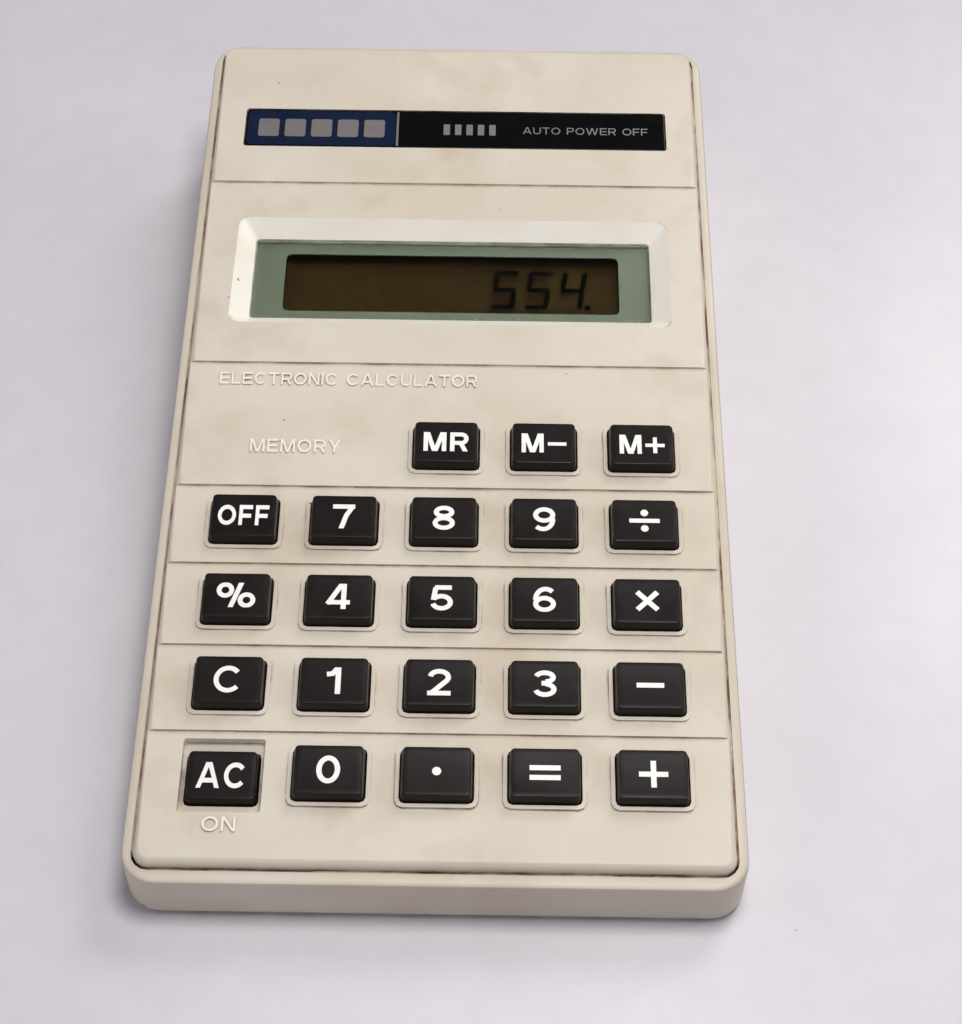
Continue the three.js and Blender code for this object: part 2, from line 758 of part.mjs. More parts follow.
// The nub of a cell points to the side given
function cell(side) {
  const profile = [
    [0, -cellLength / 2], [cellRadius - cellEdge, -cellLength / 2],
    [cellRadius, -cellLength / 2 + cellEdge], [cellRadius, cellLength / 2 - cellEdge],
    [cellRadius - cellEdge, cellLength / 2], [cellNubRadius, cellLength / 2],
    [cellNubRadius, cellLength / 2 + cellNubLength], [0, cellLength / 2 + cellNubLength],
  ];
  const geometry = new THREE.LatheGeometry(profile.map(([x, y]) => new THREE.Vector2(x, y)), 24);
  geometry.rotateZ(-side * Math.PI / 2);
  geometry.translate(side * (springLength - cellNubLength) / 2, 0, 0);
  return solid(geometry);
}

// ---- assembly -----------------------------------------------------------------------

const calculator = new THREE.Group();
calculator.name = 'pocket_calculator';
const face = new THREE.Group();
face.position.copy(facePlace);
face.rotation.x = faceTilt;
calculator.add(face);

function place(parent, shape, name, material, x = 0, y = 0, z = 0) {
  const mesh = meshFrom(shape, name, material);
  mesh.position.set(x, y, z);
  parent.add(mesh);
  return mesh;
}

place(calculator, lowerCase(), 'lower_case', finishes.case());
place(calculator, batteryDoor(), 'battery_door', finishes.case());
casePosts.forEach(([x, y], i) => {
  const headTop = counterboreDepth - seatGap - caseScrewHeadHeight;
  const body = screw(caseScrewHeadRadius, caseScrewHeadHeight, caseScrewRadius,
    caseScrewLength);
  place(calculator, body, `case_screw_${i + 1}`, finishes.steel(), x, y, headTop);
});

place(face, frontPanel(keys), 'front_panel', finishes.panel());
for (const key of keys) {
  const height = key.well ? clearKeyTopHeight : keyTopHeight;
  place(face, keyCap(height), key.name, finishes.key(), key.x, key.y);
}
place(face, rubberKeypad(), 'rubber_keypad', finishes.rubber());
place(face, circuitBoard(), 'circuit_board', finishes.board());
place(face, processorChip(), 'processor_chip', finishes.chip());
place(face, lyingCylinder(capacitorRadius, capacitorLength, 14), 'smoothing_capacitor',
  finishes.capacitor(), capacitorX, localY(memoryStripRear),
  -boardBottomDepth - seatGap - capacitorRadius);
place(face, lyingCylinder(resistorRadius, resistorLength, 10), 'timing_resistor',
  finishes.resistor(), resistorX, (rowY(0) + rowY(1)) / 2,
  -boardBottomDepth - seatGap - resistorRadius);
boardScrewPlaces.forEach(([x, y], i) => {
  const body = screw(boardScrewHeadRadius, boardScrewHeadHeight, boardScrewRadius,
    boardScrewLength - boardScrewHeadHeight);
  const low = -boardBottomDepth - seatGap - boardScrewHeadHeight;
  place(face, body, `board_screw_${i + 1}`, finishes.steel(), x, y, low);
});

const plate = roundedBlock(plateWidth, plateDepthY, plateCornerRadius,
  plateTopHeight - plateThickness, plateTopHeight);
place(face, plate, 'name_plate', finishes.plate(), 0, localY(plateFromRear));

const displayY = localY(recessFromRear);
const windowFit = 2 * stackGap;
const windowPane = roundedBlock(windowWidth - windowFit, windowDepthY - windowFit,
  windowCornerRadius, -recessFloorDepth - windowThickness, -recessFloorDepth);
place(face, windowPane, 'display_window', finishes.window(), 0, displayY);
place(face, framedSheet(windowWidth - windowFit, windowDepthY - windowFit, viewWidth,
  viewDepthY, viewCornerRadius, maskDepth, maskThickness), 'display_mask', finishes.mask(),
0, displayY);
place(face, block(-glassWidth / 2, glassWidth / 2, -glassDepthY / 2, glassDepthY / 2,
  -glassDepth - glassThickness, -glassDepth), 'display_front_glass', finishes.glass(),
0, displayY);
place(face, block(-glassWidth / 2, glassWidth / 2, -glassDepthY / 2 + glassLedge,
  glassDepthY / 2, -rearGlassDepth - glassThickness, -rearGlassDepth), 'display_rear_glass',
finishes.glass(), 0, displayY);
place(face, block(-glassWidth / 2, glassWidth / 2, -glassDepthY / 2 + glassLedge,
  glassDepthY / 2, -reflectorDepth - reflectorThickness, -reflectorDepth),
'display_reflector', finishes.reflector(), 0, displayY);
place(face, displayHolder(), 'display_holder', finishes.mask(), 0, displayY);
const zebraY = displayY - glassDepthY / 2 + glassLedge / 2;
place(face, block(-viewWidth / 2, viewWidth / 2, -zebraThickness / 2, zebraThickness / 2,
  -boardTopDepth + stackGap, -glassDepth - glassThickness - stackGap), 'display_connector',
finishes.zebra(), 0, zebraY);

place(calculator, cell(1), 'rear_cell', finishes.cell(), 0, rearCellY, cellZ);
place(calculator, cell(-1), 'front_cell', finishes.cell(), 0, frontCellY, cellZ);
const bridgeWidth = rearCellY - frontCellY + contactWidth;
const bridge = contactPlate(-1, (rearCellY + frontCellY) / 2, bridgeWidth)
  .add(contactSpring(-1, rearCellY));
place(calculator, bridge, 'bridge_contact', finishes.steel());
place(calculator, contactPlate(1, rearCellY, contactWidth), 'positive_contact',
  finishes.steel());
place(calculator, contactPlate(1, frontCellY, contactWidth).add(contactSpring(1, frontCellY)),
  'negative_contact', finishes.steel());

// Each lead runs from a contact over the bay wall to a pad on top of the board
function leadRoute(contactY, sideX, padFromDisplay) {
  const padX = boardWidth / 2 - 3 * leadRadius;
  const pad = new THREE.Vector3(padX, displayY - padFromDisplay,
    -boardTopDepth + 2 * seatGap + leadRadius).applyMatrix4(faceMatrix);
  const startX = contactX + contactThickness / 2 + leadRadius + seatGap;
  const overWall = baySideHeight + seatGap + 2 * leadRadius;
  return [
    new THREE.Vector3(startX, contactY, overWall),
    new THREE.Vector3((startX + sideX) / 2, contactY - 2, overWall),
    new THREE.Vector3(sideX, contactY - 5, overWall),
    new THREE.Vector3(sideX, bayFrontY - bayWall / 2, overWall),
    new THREE.Vector3(sideX, pad.y + 4, pad.z + 4 * leadRadius),
    pad,
  ];
}

const innerLeadX = baySideX + bayWall / 2;
const outerLeadX = innerLeadX + 4 * leadRadius;
place(calculator, tube(leadRoute(rearCellY, outerLeadX, glassDepthY / 2), leadRadius, 6, 24),
  'red_lead', finishes.redLead());
place(calculator, tube(leadRoute(frontCellY, innerLeadX, 0), leadRadius, 6, 16),
  'black_lead', finishes.blackLead());

export default calculator;
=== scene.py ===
import json
import math

import bmesh
import bpy
from mathutils import Matrix, Vector
from mathutils.geometry import delaunay_2d_cdt

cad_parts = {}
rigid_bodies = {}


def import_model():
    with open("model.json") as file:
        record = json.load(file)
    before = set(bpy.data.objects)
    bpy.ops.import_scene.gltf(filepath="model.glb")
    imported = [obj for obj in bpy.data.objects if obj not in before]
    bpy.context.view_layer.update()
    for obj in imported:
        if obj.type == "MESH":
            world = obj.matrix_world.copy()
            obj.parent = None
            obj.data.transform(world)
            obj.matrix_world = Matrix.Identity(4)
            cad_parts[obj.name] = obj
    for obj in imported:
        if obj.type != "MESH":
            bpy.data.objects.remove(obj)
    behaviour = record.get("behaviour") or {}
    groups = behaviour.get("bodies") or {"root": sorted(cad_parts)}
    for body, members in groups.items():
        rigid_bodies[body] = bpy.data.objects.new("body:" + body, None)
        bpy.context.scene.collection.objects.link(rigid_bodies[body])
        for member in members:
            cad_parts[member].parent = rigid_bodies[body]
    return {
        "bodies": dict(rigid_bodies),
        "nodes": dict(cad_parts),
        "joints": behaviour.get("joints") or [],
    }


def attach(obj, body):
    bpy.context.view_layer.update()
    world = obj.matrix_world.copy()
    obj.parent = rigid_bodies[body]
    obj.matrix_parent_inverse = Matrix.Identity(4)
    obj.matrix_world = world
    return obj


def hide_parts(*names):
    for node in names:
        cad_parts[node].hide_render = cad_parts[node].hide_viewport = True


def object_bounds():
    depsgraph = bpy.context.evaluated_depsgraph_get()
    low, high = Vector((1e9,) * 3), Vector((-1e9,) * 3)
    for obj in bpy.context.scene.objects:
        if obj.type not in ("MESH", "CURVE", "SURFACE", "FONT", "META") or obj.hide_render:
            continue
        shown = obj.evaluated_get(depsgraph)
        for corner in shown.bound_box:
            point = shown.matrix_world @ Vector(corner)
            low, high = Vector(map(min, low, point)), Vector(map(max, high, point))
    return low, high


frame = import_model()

cad_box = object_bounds()
MM = 0.001


# ---- Lower case ---------------------------------------------------------------------
# The deep half of the body: a wedge-shaped tray of cream ABS with rounded edges, injection
# moulded in one piece. It has yellowed; grime and painted shade sit in the gap where the panel drops
# in.

def node_in(tree, kind, inputs=None, **settings):
    """One shader node; each input is a value or another node's output."""
    made = tree.nodes.new("ShaderNode" + kind)
    for name, value in settings.items():
        setattr(made, name, value)
    for name, value in (inputs or {}).items():
        socket = made.inputs[name]
        if isinstance(value, bpy.types.NodeSocket):
            tree.links.new(value, socket)
        else:
            socket.default_value = value
    return made


def maths(tree, operation, first, second=0.0, clamp=False):
    return node_in(tree, "Math", {0: first, 1: second}, operation=operation,
                   use_clamp=clamp).outputs[0]


def spread(tree, value, low, high, to_low=0.0, to_high=1.0):
    """The value between low and high, stretched to to_low and to_high and held there."""
    return node_in(tree, "MapRange", {"Value": value, "From Min": low, "From Max": high,
                                      "To Min": to_low, "To Max": to_high}).outputs["Result"]


def blend_colours(tree, share, first, second):
    return node_in(tree, "Mix", {0: share, 6: first, 7: second}, data_type="RGBA").outputs[2]


def effect(name, inputs, outputs):
    """An empty shader group with named number or colour inputs and outputs."""
    group = bpy.data.node_groups.new(name, "ShaderNodeTree")
    for label, start in inputs.items():
        kind = "NodeSocketColor" if isinstance(start, tuple) else "NodeSocketFloat"
        socket = group.interface.new_socket(label, in_out="INPUT", socket_type=kind)
        socket.default_value = start
    for label, kind in outputs.items():
        group.interface.new_socket(label, in_out="OUTPUT", socket_type="NodeSocket" + kind)
    return group, group.nodes.new("NodeGroupInput").outputs, group.nodes.new("NodeGroupOutput")


def place(tree, group, **inputs):
    """A group set into a material, with its own values."""
    made = tree.nodes.new("ShaderNodeGroup")
    made.node_tree = group
    for name, value in inputs.items():
        socket = made.inputs[name.replace("_", " ")]
        if isinstance(value, bpy.types.NodeSocket):
            tree.links.new(value, socket)
        else:
            socket.default_value = value
    return made.outputs


def seen(red, green, blue):
    """A colour as the eye sees it, 0 to 255, turned to the light values that shaders use."""
    values = [c / 255 for c in (red, green, blue)]
    return tuple(c / 12.92 if c < 0.04045 else ((c + 0.055) / 1.055) ** 2.4
                 for c in values) + (1.0,)


def cloudy_effect():
    """Slow, uneven staining: a mask that drifts over the surface."""
    group, given, result = effect("cloudy_stain", {"Size": 0.02, "Contrast": 0.25},
                                  {"Mask": "Float"})
    where = node_in(group, "TexCoord").outputs["Object"]
    scale = maths(group, "DIVIDE", 1.0, given["Size"])
    slow = node_in(group, "TexNoise", {"Vector": where, "Scale": scale, "Detail": 4.0,
                                       "Roughness": 0.6}).outputs["Fac"]
    low = maths(group, "SUBTRACT", 0.5, given["Contrast"])
    high = maths(group, "ADD", 0.5, given["Contrast"])
    mask = spread(group, slow, low, high)
    group.links.new(mask, result.inputs["Mask"])
    return group


def corner_dirt_and_shade_effect():
    """Dirt in corners and gaps, in broken patches, placed by ambient occlusion, so it is painted shade
    as well as dirt.
    """
    group, given, result = effect("dirt_and_painted_shade_in_corners", {"Reach": 0.0006, "Amount": 1.0,
                                                       "Patch": 0.004}, {"Mask": "Float"})
    where = node_in(group, "TexCoord").outputs["Object"]
    # Ambient occlusion: the more closed in a spot, the more dirt colour, which paints shade as well as
    # dirt.
    open_sky = node_in(group, "AmbientOcclusion", {"Distance": given["Reach"]},
                       samples=8).outputs["AO"]
    corner = spread(group, open_sky, 0.8, 0.36)
    scale = maths(group, "DIVIDE", 1.0, given["Patch"])
    patches = node_in(group, "TexNoise", {"Vector": where, "Scale": scale, "Detail": 6.0,
                                          "Roughness": 0.65}).outputs["Fac"]
    broken = spread(group, patches, 0.42, 0.6, 0.1, 1.0)
    mask = maths(group, "MULTIPLY", maths(group, "MULTIPLY", corner, broken),
                 given["Amount"], clamp=True)
    group.links.new(mask, result.inputs["Mask"])
    return group


def fleck_effect():
    """Small specks of dirt, here and there, each a different size."""
    group, given, result = effect("dirt_flecks", {"Spacing": 0.004, "Largest": 0.00035,
                                                  "Share": 0.4}, {"Mask": "Float"})
    where = node_in(group, "TexCoord").outputs["Object"]
    scale = maths(group, "DIVIDE", 1.0, given["Spacing"])
    ragged = node_in(group, "TexNoise", {"Vector": where, "Scale": 5200.0, "Detail": 2.0})
    pushed = node_in(group, "VectorMath", {0: ragged.outputs["Color"], 1: (0.5, 0.5, 0.5)},
                     operation="SUBTRACT").outputs[0]
    pushed = node_in(group, "VectorMath", {0: pushed, "Scale": 0.0003},
                     operation="SCALE").outputs[0]
    where = node_in(group, "VectorMath", {0: where, 1: pushed}).outputs[0]
    cells = node_in(group, "TexVoronoi", {"Vector": where, "Scale": scale})
    parts = node_in(group, "SeparateColor", {"Color": cells.outputs["Color"]}).outputs
    radius = maths(group, "MULTIPLY", maths(group, "MULTIPLY", given["Largest"], scale),
                   maths(group, "POWER", parts["Red"], 2.0))
    inside = maths(group, "LESS_THAN", cells.outputs["Distance"], radius)
    chosen = maths(group, "LESS_THAN", parts["Green"], given["Share"])
    group.links.new(maths(group, "MULTIPLY", inside, chosen), result.inputs["Mask"])
    return group


def moulded_effect():
    """The fine sparked grain of a mould, and the slow waviness of a cooled shell."""
    group, given, result = effect("moulded_skin", {"Grain": 0.00022, "Wave": 0.012},
                                  {"Height": "Float", "Roughness": "Float"})
    where = node_in(group, "TexCoord").outputs["Object"]
    fine = node_in(group, "TexNoise", {"Vector": where, "Detail": 3.0, "Roughness": 0.6,
                                       "Scale": maths(group, "DIVIDE", 1.0, given["Grain"])})
    slow = node_in(group, "TexNoise", {"Vector": where, "Detail": 1.0,
                                       "Scale": maths(group, "DIVIDE", 1.0, given["Wave"])})
    height = maths(group, "ADD", fine.outputs["Fac"],
                   maths(group, "MULTIPLY", slow.outputs["Fac"], 3.0))
    group.links.new(height, result.inputs["Height"])
    rubbed = maths(group, "MULTIPLY", fine.outputs["Fac"], slow.outputs["Fac"])
    group.links.new(spread(group, rubbed, 0.12, 0.4), result.inputs["Roughness"])
    return group


def worn_and_lit_edge_effect():
    """A mask along outer edges: where handling has rubbed the surface of the shells, and where a
    painted edge highlight goes on the keys.
    """
    group, given, result = effect("worn_and_lit_edges", {"Width": 0.0002, "Amount": 1.0},
                                  {"Mask": "Float"})
    rounded = node_in(group, "Bevel", {"Radius": given["Width"]}, samples=4).outputs[0]
    straight = node_in(group, "NewGeometry").outputs["Normal"]
    turn = node_in(group, "VectorMath", {0: rounded, 1: straight},
                   operation="DOT_PRODUCT").outputs["Value"]
    where = node_in(group, "TexCoord").outputs["Object"]
    patches = node_in(group, "TexNoise", {"Vector": where, "Scale": 900.0, "Detail": 4.0})
    mask = maths(group, "MULTIPLY", spread(group, turn, 0.99, 0.86),
                 spread(group, patches.outputs["Fac"], 0.4, 0.62))
    group.links.new(maths(group, "MULTIPLY", mask, given["Amount"], clamp=True),
                    result.inputs["Mask"])
    return group


cloudy, corner_dirt_and_shade, flecks = cloudy_effect(), corner_dirt_and_shade_effect(), fleck_effect()
moulded, worn_and_lit_edges = moulded_effect(), worn_and_lit_edge_effect()


def new_material(name):
    made = bpy.data.materials.new(name)
    made.use_nodes = True
    tree = made.node_tree
    return made, tree, tree.nodes["Principled BSDF"]


def surface(tree, shader, colour, roughness=None, height=None, depth=None):
    """Feeds a Principled shader's colour, roughness and bump."""
    tree.links.new(colour, shader.inputs["Base Color"])
    if roughness is not None:
        tree.links.new(roughness, shader.inputs["Roughness"])
    if height is not None:
        bump = node_in(tree, "Bump", {"Height": height, "Distance": depth, "Strength": 1.0})
        tree.links.new(bump.outputs["Normal"], shader.inputs["Normal"])


def aged_plastic(name, clean, stained, smeared, dirt_and_shade_colour, rough=(0.34, 0.5), stain_size=0.03,
                 dirt_and_shade_amount=1.0, dirt_and_shade_reach=0.0007, fleck_share=0.35, grain_depth=6e-6):
    """Old moulded plastic: uneven tint, dirt with painted shade in the corners, specks and a fine
    grain.
    """
    made, tree, shader = new_material(name)
    shader.inputs["Specular IOR Level"].default_value = 0.45
    stain = place(tree, cloudy, Size=stain_size)["Mask"]
    colour = blend_colours(tree, stain, clean, stained)
    # Dirt colour in corners and gaps by ambient occlusion: dirt and painted shade together.
    corner = place(tree, corner_dirt_and_shade, Reach=dirt_and_shade_reach, Amount=dirt_and_shade_amount)["Mask"]
    colour = blend_colours(tree, corner, colour, dirt_and_shade_colour)
    smudge = spread(tree, place(tree, cloudy, Size=stain_size * 0.6)["Mask"], 0.5, 1.0, 0, 0.35)
    colour = blend_colours(tree, smudge, colour, smeared)
    rubbed = place(tree, worn_and_lit_edges, Amount=0.7)["Mask"]
    colour = blend_colours(tree, rubbed, colour, clean)
    speck = place(tree, flecks, Share=fleck_share)["Mask"]
    colour = blend_colours(tree, maths(tree, "MULTIPLY", speck, 0.75), colour, dirt_and_shade_colour)
    skin = place(tree, moulded)
    surface(tree, shader, colour, spread(tree, skin["Roughness"], 0, 1, *rough),
            skin["Height"], grain_depth)
    return made


# The last colour is dirt brown, laid by ambient occlusion as dirt and painted shade in the rim gap.
case_plastic = aged_plastic("aged_cream_plastic", seen(211, 201, 188), seen(198, 186, 168),
                            seen(176, 154, 122), seen(104, 72, 46), dirt_and_shade_reach=0.0011, dirt_and_shade_amount=1.0)


def show_as(node, material):
    """A CAD node keeps its shape and takes a finish."""
    shown = frame["nodes"][node]
    shown.data.materials.clear()
    shown.data.materials.append(material)
    for polygon in shown.data.polygons:
        polygon.material_index = 0


def new_piece(name, mesh, body, slot, material, *stands_for):
    """A finished mesh as a named piece that rides on a body."""
    piece = bpy.data.objects.new(name, mesh)
    bpy.context.scene.collection.objects.link(piece)
    mesh.materials.clear()
    mesh.materials.append(material)
    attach(piece, body)
    if stands_for:
        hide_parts(*stands_for)
    return piece


def with_rounded_edges(node, width, steps=2, sharper_than=32, join_flats=True):
    """A CAD node's shape with its edges rounded over. The triangles of flat faces are joined
    up first, except where a flat face has holes near each other, which would tear it."""
    shape = bmesh.new()
    shape.from_mesh(frame["nodes"][node].data)
    bmesh.ops.remove_doubles(shape, verts=shape.verts, dist=2e-6)
    if join_flats:
        bmesh.ops.dissolve_limit(shape, angle_limit=math.radians(1.0), verts=shape.verts,
                                 edges=shape.edges)
    mesh = bpy.data.meshes.new(node + "_shape")
    shape.to_mesh(mesh)
    shape.free()
    worked = bpy.data.objects.new("worked", mesh)
    bpy.context.scene.collection.objects.link(worked)
    bevel = worked.modifiers.new("round", "BEVEL")
    bevel.width = width
    bevel.segments = steps
    bevel.limit_method = "ANGLE"
    bevel.angle_limit = math.radians(sharper_than)
    bevel.miter_outer = "MITER_ARC"
    for polygon in mesh.polygons:
        polygon.use_smooth = True
    even = worked.modifiers.new("even", "WEIGHTED_NORMAL")
    even.keep_sharp = True
    finished = bpy.data.meshes.new_from_object(
        worked.evaluated_get(bpy.context.evaluated_depsgraph_get()))
    finished.name = node + "_rounded"
    bpy.data.objects.remove(worked)
    bpy.data.meshes.remove(mesh)
    return finished


new_piece("case_tray", with_rounded_edges("lower_case", 0.12 * MM), "root", "case_shell",
          case_plastic, "lower_case")


# ---- Battery door -------------------------------------------------------------------
# A lid of the same cream ABS that slides out of the rear of the base on two tongues, with
# five thumb grooves. Its lower edge follows the rounded edge of the case.

new_piece("battery_lid", with_rounded_edges("battery_door", 0.08 * MM, join_flats=False),
          "battery_door", "case_shell", case_plastic, "battery_door")


# ---- Case screws --------------------------------------------------------------------
# Four slotted pan-head screws of nickel-plated steel, sunk in counterbores in the base.

def scratched_effect():
    """Hair-fine turning marks and dull patches on plated metal."""
    group, given, result = effect("turned_metal", {"Fineness": 9000.0},
                                  {"Roughness": "Float", "Height": "Float"})
    where = node_in(group, "TexCoord").outputs["Object"]
    lines = node_in(group, "TexNoise", {"Vector": where, "Scale": given["Fineness"],
                                        "Detail": 2.0, "Distortion": 1.5}).outputs["Fac"]
    dull = node_in(group, "TexNoise", {"Vector": where, "Scale": 600.0}).outputs["Fac"]
    group.links.new(spread(group, maths(group, "ADD", lines, dull), 0.7, 1.3, 0.22, 0.5),
                    result.inputs["Roughness"])
    group.links.new(lines, result.inputs["Height"])
    return group


turned_metal = scratched_effect()


def plated_metal(name, bright, dull):
    made, tree, shader = new_material(name)
    shader.inputs["Metallic"].default_value = 1.0
    stain = place(tree, cloudy, Size=0.002)["Mask"]
    marks = place(tree, turned_metal)
    surface(tree, shader, blend_colours(tree, stain, bright, dull), marks["Roughness"],
            marks["Height"], 4e-6)
    return made


plated_steel = plated_metal("nickel_plated_steel", seen(205, 204, 200), seen(168, 164, 156))
for number in range(1, 5):
    show_as(f"case_screw_{number}", plated_steel)
    show_as(f"board_screw_{number}", plated_steel)


# ---- Face frame: where pieces of the face go -----------------------------------------
# The keys' joints point straight into the face, so they give its slope.

press = Vector(frame["joints"][0]["axis"])
face_turn = Matrix.Rotation(math.atan2(press.y, -press.z), 4, "X")


def face_box(node):
    """Lowest and highest corner of a CAD node, measured square to the face."""
    back = face_turn.inverted()
    points = [back @ v.co for v in frame["nodes"][node].data.vertices]
    return (Vector([min(p[i] for p in points) for i in range(3)]),
            Vector([max(p[i] for p in points) for i in range(3)]))


def mesh_of(name, shape, smooth_below=35):
    """A finished mesh from a bmesh, smooth except at corners sharper than an angle."""
    bmesh.ops.recalc_face_normals(shape, faces=shape.faces)
    mesh = bpy.data.meshes.new(name)
    shape.to_mesh(mesh)
    shape.free()
    for polygon in mesh.polygons:
        polygon.use_smooth = True
    mesh.set_sharp_from_angle(angle=math.radians(smooth_below))
    return mesh


def rounded_loop(half_x, half_y, radius, steps):
    """Points round a rectangle with round corners, the same number for any size."""
    radius = max(min(radius, half_x, half_y), 1e-6)
    points = []
    for corner, (sx, sy) in enumerate(((1, 1), (-1, 1), (-1, -1), (1, -1))):
        for step in range(steps + 1):
            angle = math.pi / 2 * (corner + step / steps)
            points.append((sx * (half_x - radius) + radius * math.cos(angle),
                           sy * (half_y - radius) + radius * math.sin(angle)))
    return points


def skin_between(shape, lower, upper):
    for i in range(len(lower)):
        j = (i + 1) % len(lower)
        shape.faces.new((lower[i], lower[j], upper[j], upper[i]))


# ---- Front panel --------------------------------------------------------------------
# The ivory ABS face: shingled strips with rounded shoulders, a sloping-sided recess for the
# display, a well for the all-clear key and a thin raised collar round every other key.
# The walls of the display recess and the rear wall of the well take a whiter copy of the panel
# plastic, painted light standing in for light from the front.

# The last colour is dirt brown, laid in steps and round collars by ambient occlusion: dirt and painted
# shade.
panel_plastic = aged_plastic("aged_ivory_plastic", seen(217, 208, 195), seen(203, 192, 174),
                             seen(168, 144, 114), seen(104, 70, 44), stain_size=0.022,
                             dirt_and_shade_reach=0.0008, dirt_and_shade_amount=1.0)
# A whiter copy of the panel plastic: painted light on the recess and well walls.
lit_recess_plastic = aged_plastic("lit_recess_ivory_plastic", seen(243, 239, 230),
                                 seen(234, 228, 215), seen(226, 214, 190), seen(96, 70, 48),
                                 stain_size=0.012, dirt_and_shade_reach=0.0003, dirt_and_shade_amount=0.7)
panel = new_piece("face_panel", with_rounded_edges("front_panel", 0.11 * MM), "root",
                  "panel_shell", panel_plastic, "front_panel")
panel.data.materials.append(lit_recess_plastic)
face_level = face_box("name_plate")[1].z - 0.15 * MM
# The display recess walls and the rear wall of the all-clear well take the whiter, painted-light copy.
back_to_flat = face_turn.inverted()
for node, wider in (("display_window", 3.0 * MM), ("key_on_all_clear", 1.0 * MM)):
    low, high = face_box(node)
    for polygon in panel.data.polygons:
        at = back_to_flat @ polygon.center
        if node == "key_on_all_clear" and at.y < high.y:
            continue
        if (low.x - wider < at.x < high.x + wider and low.y - wider < at.y < high.y + wider
                and face_level - 2.6 * MM < at.z < face_level - 0.2 * MM):
            polygon.material_index = 1


# ---- Dust in the gap round the panel ------------------------------------------------
# Brown dust packed between the panel and the rim of the case, below the rim.

gap_dust, tree, shader = new_material("packed_dust")
shade = place(tree, cloudy, Size=0.006, Contrast=0.12)["Mask"]
skin = place(tree, moulded, Grain=0.0001, Wave=0.001)
surface(tree, shader, blend_colours(tree, shade, seen(214, 200, 176), seen(120, 90, 62)),
        spread(tree, skin["Roughness"], 0, 1, 0.8, 0.95), skin["Height"], 2e-5)


DUST_TOP, DUST_BOTTOM = -1.05, -1.3
DUST_INNER, DUST_OUTER, PANEL_CORNER = -0.1, 0.35, 2.6


def dust_ring():
    """A flat closed ring that reaches a little into both walls of the gap."""
    low, high = face_box("front_panel")
    middle, half = (low + high) / 2, (high - low) / 2
    shape, rings = bmesh.new(), []
    for grow, level in ((DUST_INNER, DUST_BOTTOM), (DUST_OUTER, DUST_BOTTOM),
                        (DUST_OUTER, DUST_TOP), (DUST_INNER, DUST_TOP)):
        loop = rounded_loop(half.x + grow * MM, half.y + grow * MM,
                            (PANEL_CORNER + grow) * MM, 8)
        rings.append([shape.verts.new(face_turn @ Vector((middle.x + x, middle.y + y,
                                                          face_level + level * MM)))
                      for x, y in loop])
    for lower, upper in zip(rings, rings[1:] + rings[:1]):
        skin_between(shape, lower, upper)
    return mesh_of("gap_dust", shape)


new_piece("gap_dust", dust_ring(), "root", "case_shell", gap_dust)


# ---- Keys ---------------------------------------------------------------------------
# Twenty-three caps of dark brown ABS with dished tops, each on a flange under the panel.
# The white legends are double-shot or hot stamped into the top.

KEY_FLANGE, KEY_FLANGE_THICK = 0.6 * MM, 0.8 * MM
KEY_CORNER, KEY_SHOULDER = 0.5 * MM, 1.55 * MM
KEY_TAPER = 0.2 * MM
KEY_EDGE = 0.18 * MM
KEY_DISH = 0.12 * MM


def dish_height(y, half_depth):
    """How far the top lies below its front and rear edges."""
    return -KEY_DISH * max(0.0, 1 - (y / half_depth) ** 2)


def with_side_points(loop):
    """The same loop with each long side divided, so that the dish runs right across."""
    points = []
    for (x, y), (next_x, next_y) in zip(loop, loop[1:] + loop[:1]):
        points.append((x, y))
        if abs(next_x - x) < 1e-9 and abs(next_y - y) > 0:
            points += [(x, y + (next_y - y) * i / 8) for i in range(1, 8)]
    return points


def key_cap(node):
    low, high = face_box(node)
    centre = (low + high) / 2
    flange = (high - low) / 2
    half_x, half_y = flange.x - KEY_FLANGE, flange.y - KEY_FLANGE
    top, flange_top, shoulder = high.z, low.z + KEY_FLANGE_THICK, high.z - KEY_SHOULDER
    shape = bmesh.new()

    def ring(hx, hy, radius, level, dished=False):
        made = []
        for x, y in with_side_points(rounded_loop(hx, hy, radius, 5)):
            z = level + (dish_height(y, half_y) * 0.9 if dished else 0)
            made.append(shape.verts.new(face_turn @ Vector((centre.x + x, centre.y + y, z))))
        return made

    rings = [ring(flange.x, flange.y, KEY_CORNER, low.z),
             ring(flange.x, flange.y, KEY_CORNER, flange_top),
             ring(half_x, half_y, KEY_CORNER, flange_top),
             ring(half_x, half_y, KEY_CORNER, shoulder)]
    for step in range(5):
        turn = math.pi / 2 * step / 4
        inset = KEY_TAPER + KEY_EDGE * (1 - math.cos(turn))
        rings.append(ring(half_x - inset, half_y - inset, KEY_CORNER,
                          top - KEY_EDGE * (1 - math.sin(turn)), step > 2))
    inner = KEY_TAPER + KEY_EDGE
    for share in (0.85, 0.6, 0.3):
        rings.append(ring((half_x - inner) * share, (half_y - inner) * share,
                          0.4 * MM * share, top, True))
    for lower, upper in zip(rings, rings[1:]):
        skin_between(shape, lower, upper)
    shape.faces.new(rings[-1])
    shape.faces.new(list(reversed(rings[0])))
    return mesh_of(node + "_cap", shape), Vector((centre.x, centre.y, top)), half_y


def bar(x, y, width, height, turn=0.0):
    """A straight stroke of a legend, as corners of one flat face."""
    corners = [(-width / 2, -height / 2), (width / 2, -height / 2),
               (width / 2, height / 2), (-width / 2, height / 2)]
    c, s = math.cos(turn), math.sin(turn)
    return [(x + a * c - b * s, y + a * s + b * c) for a, b in corners]


def dot(x, y, radius, sides=20):
    return [(x + radius * math.cos(2 * math.pi * i / sides),
             y + radius * math.sin(2 * math.pi * i / sides)) for i in range(sides)]


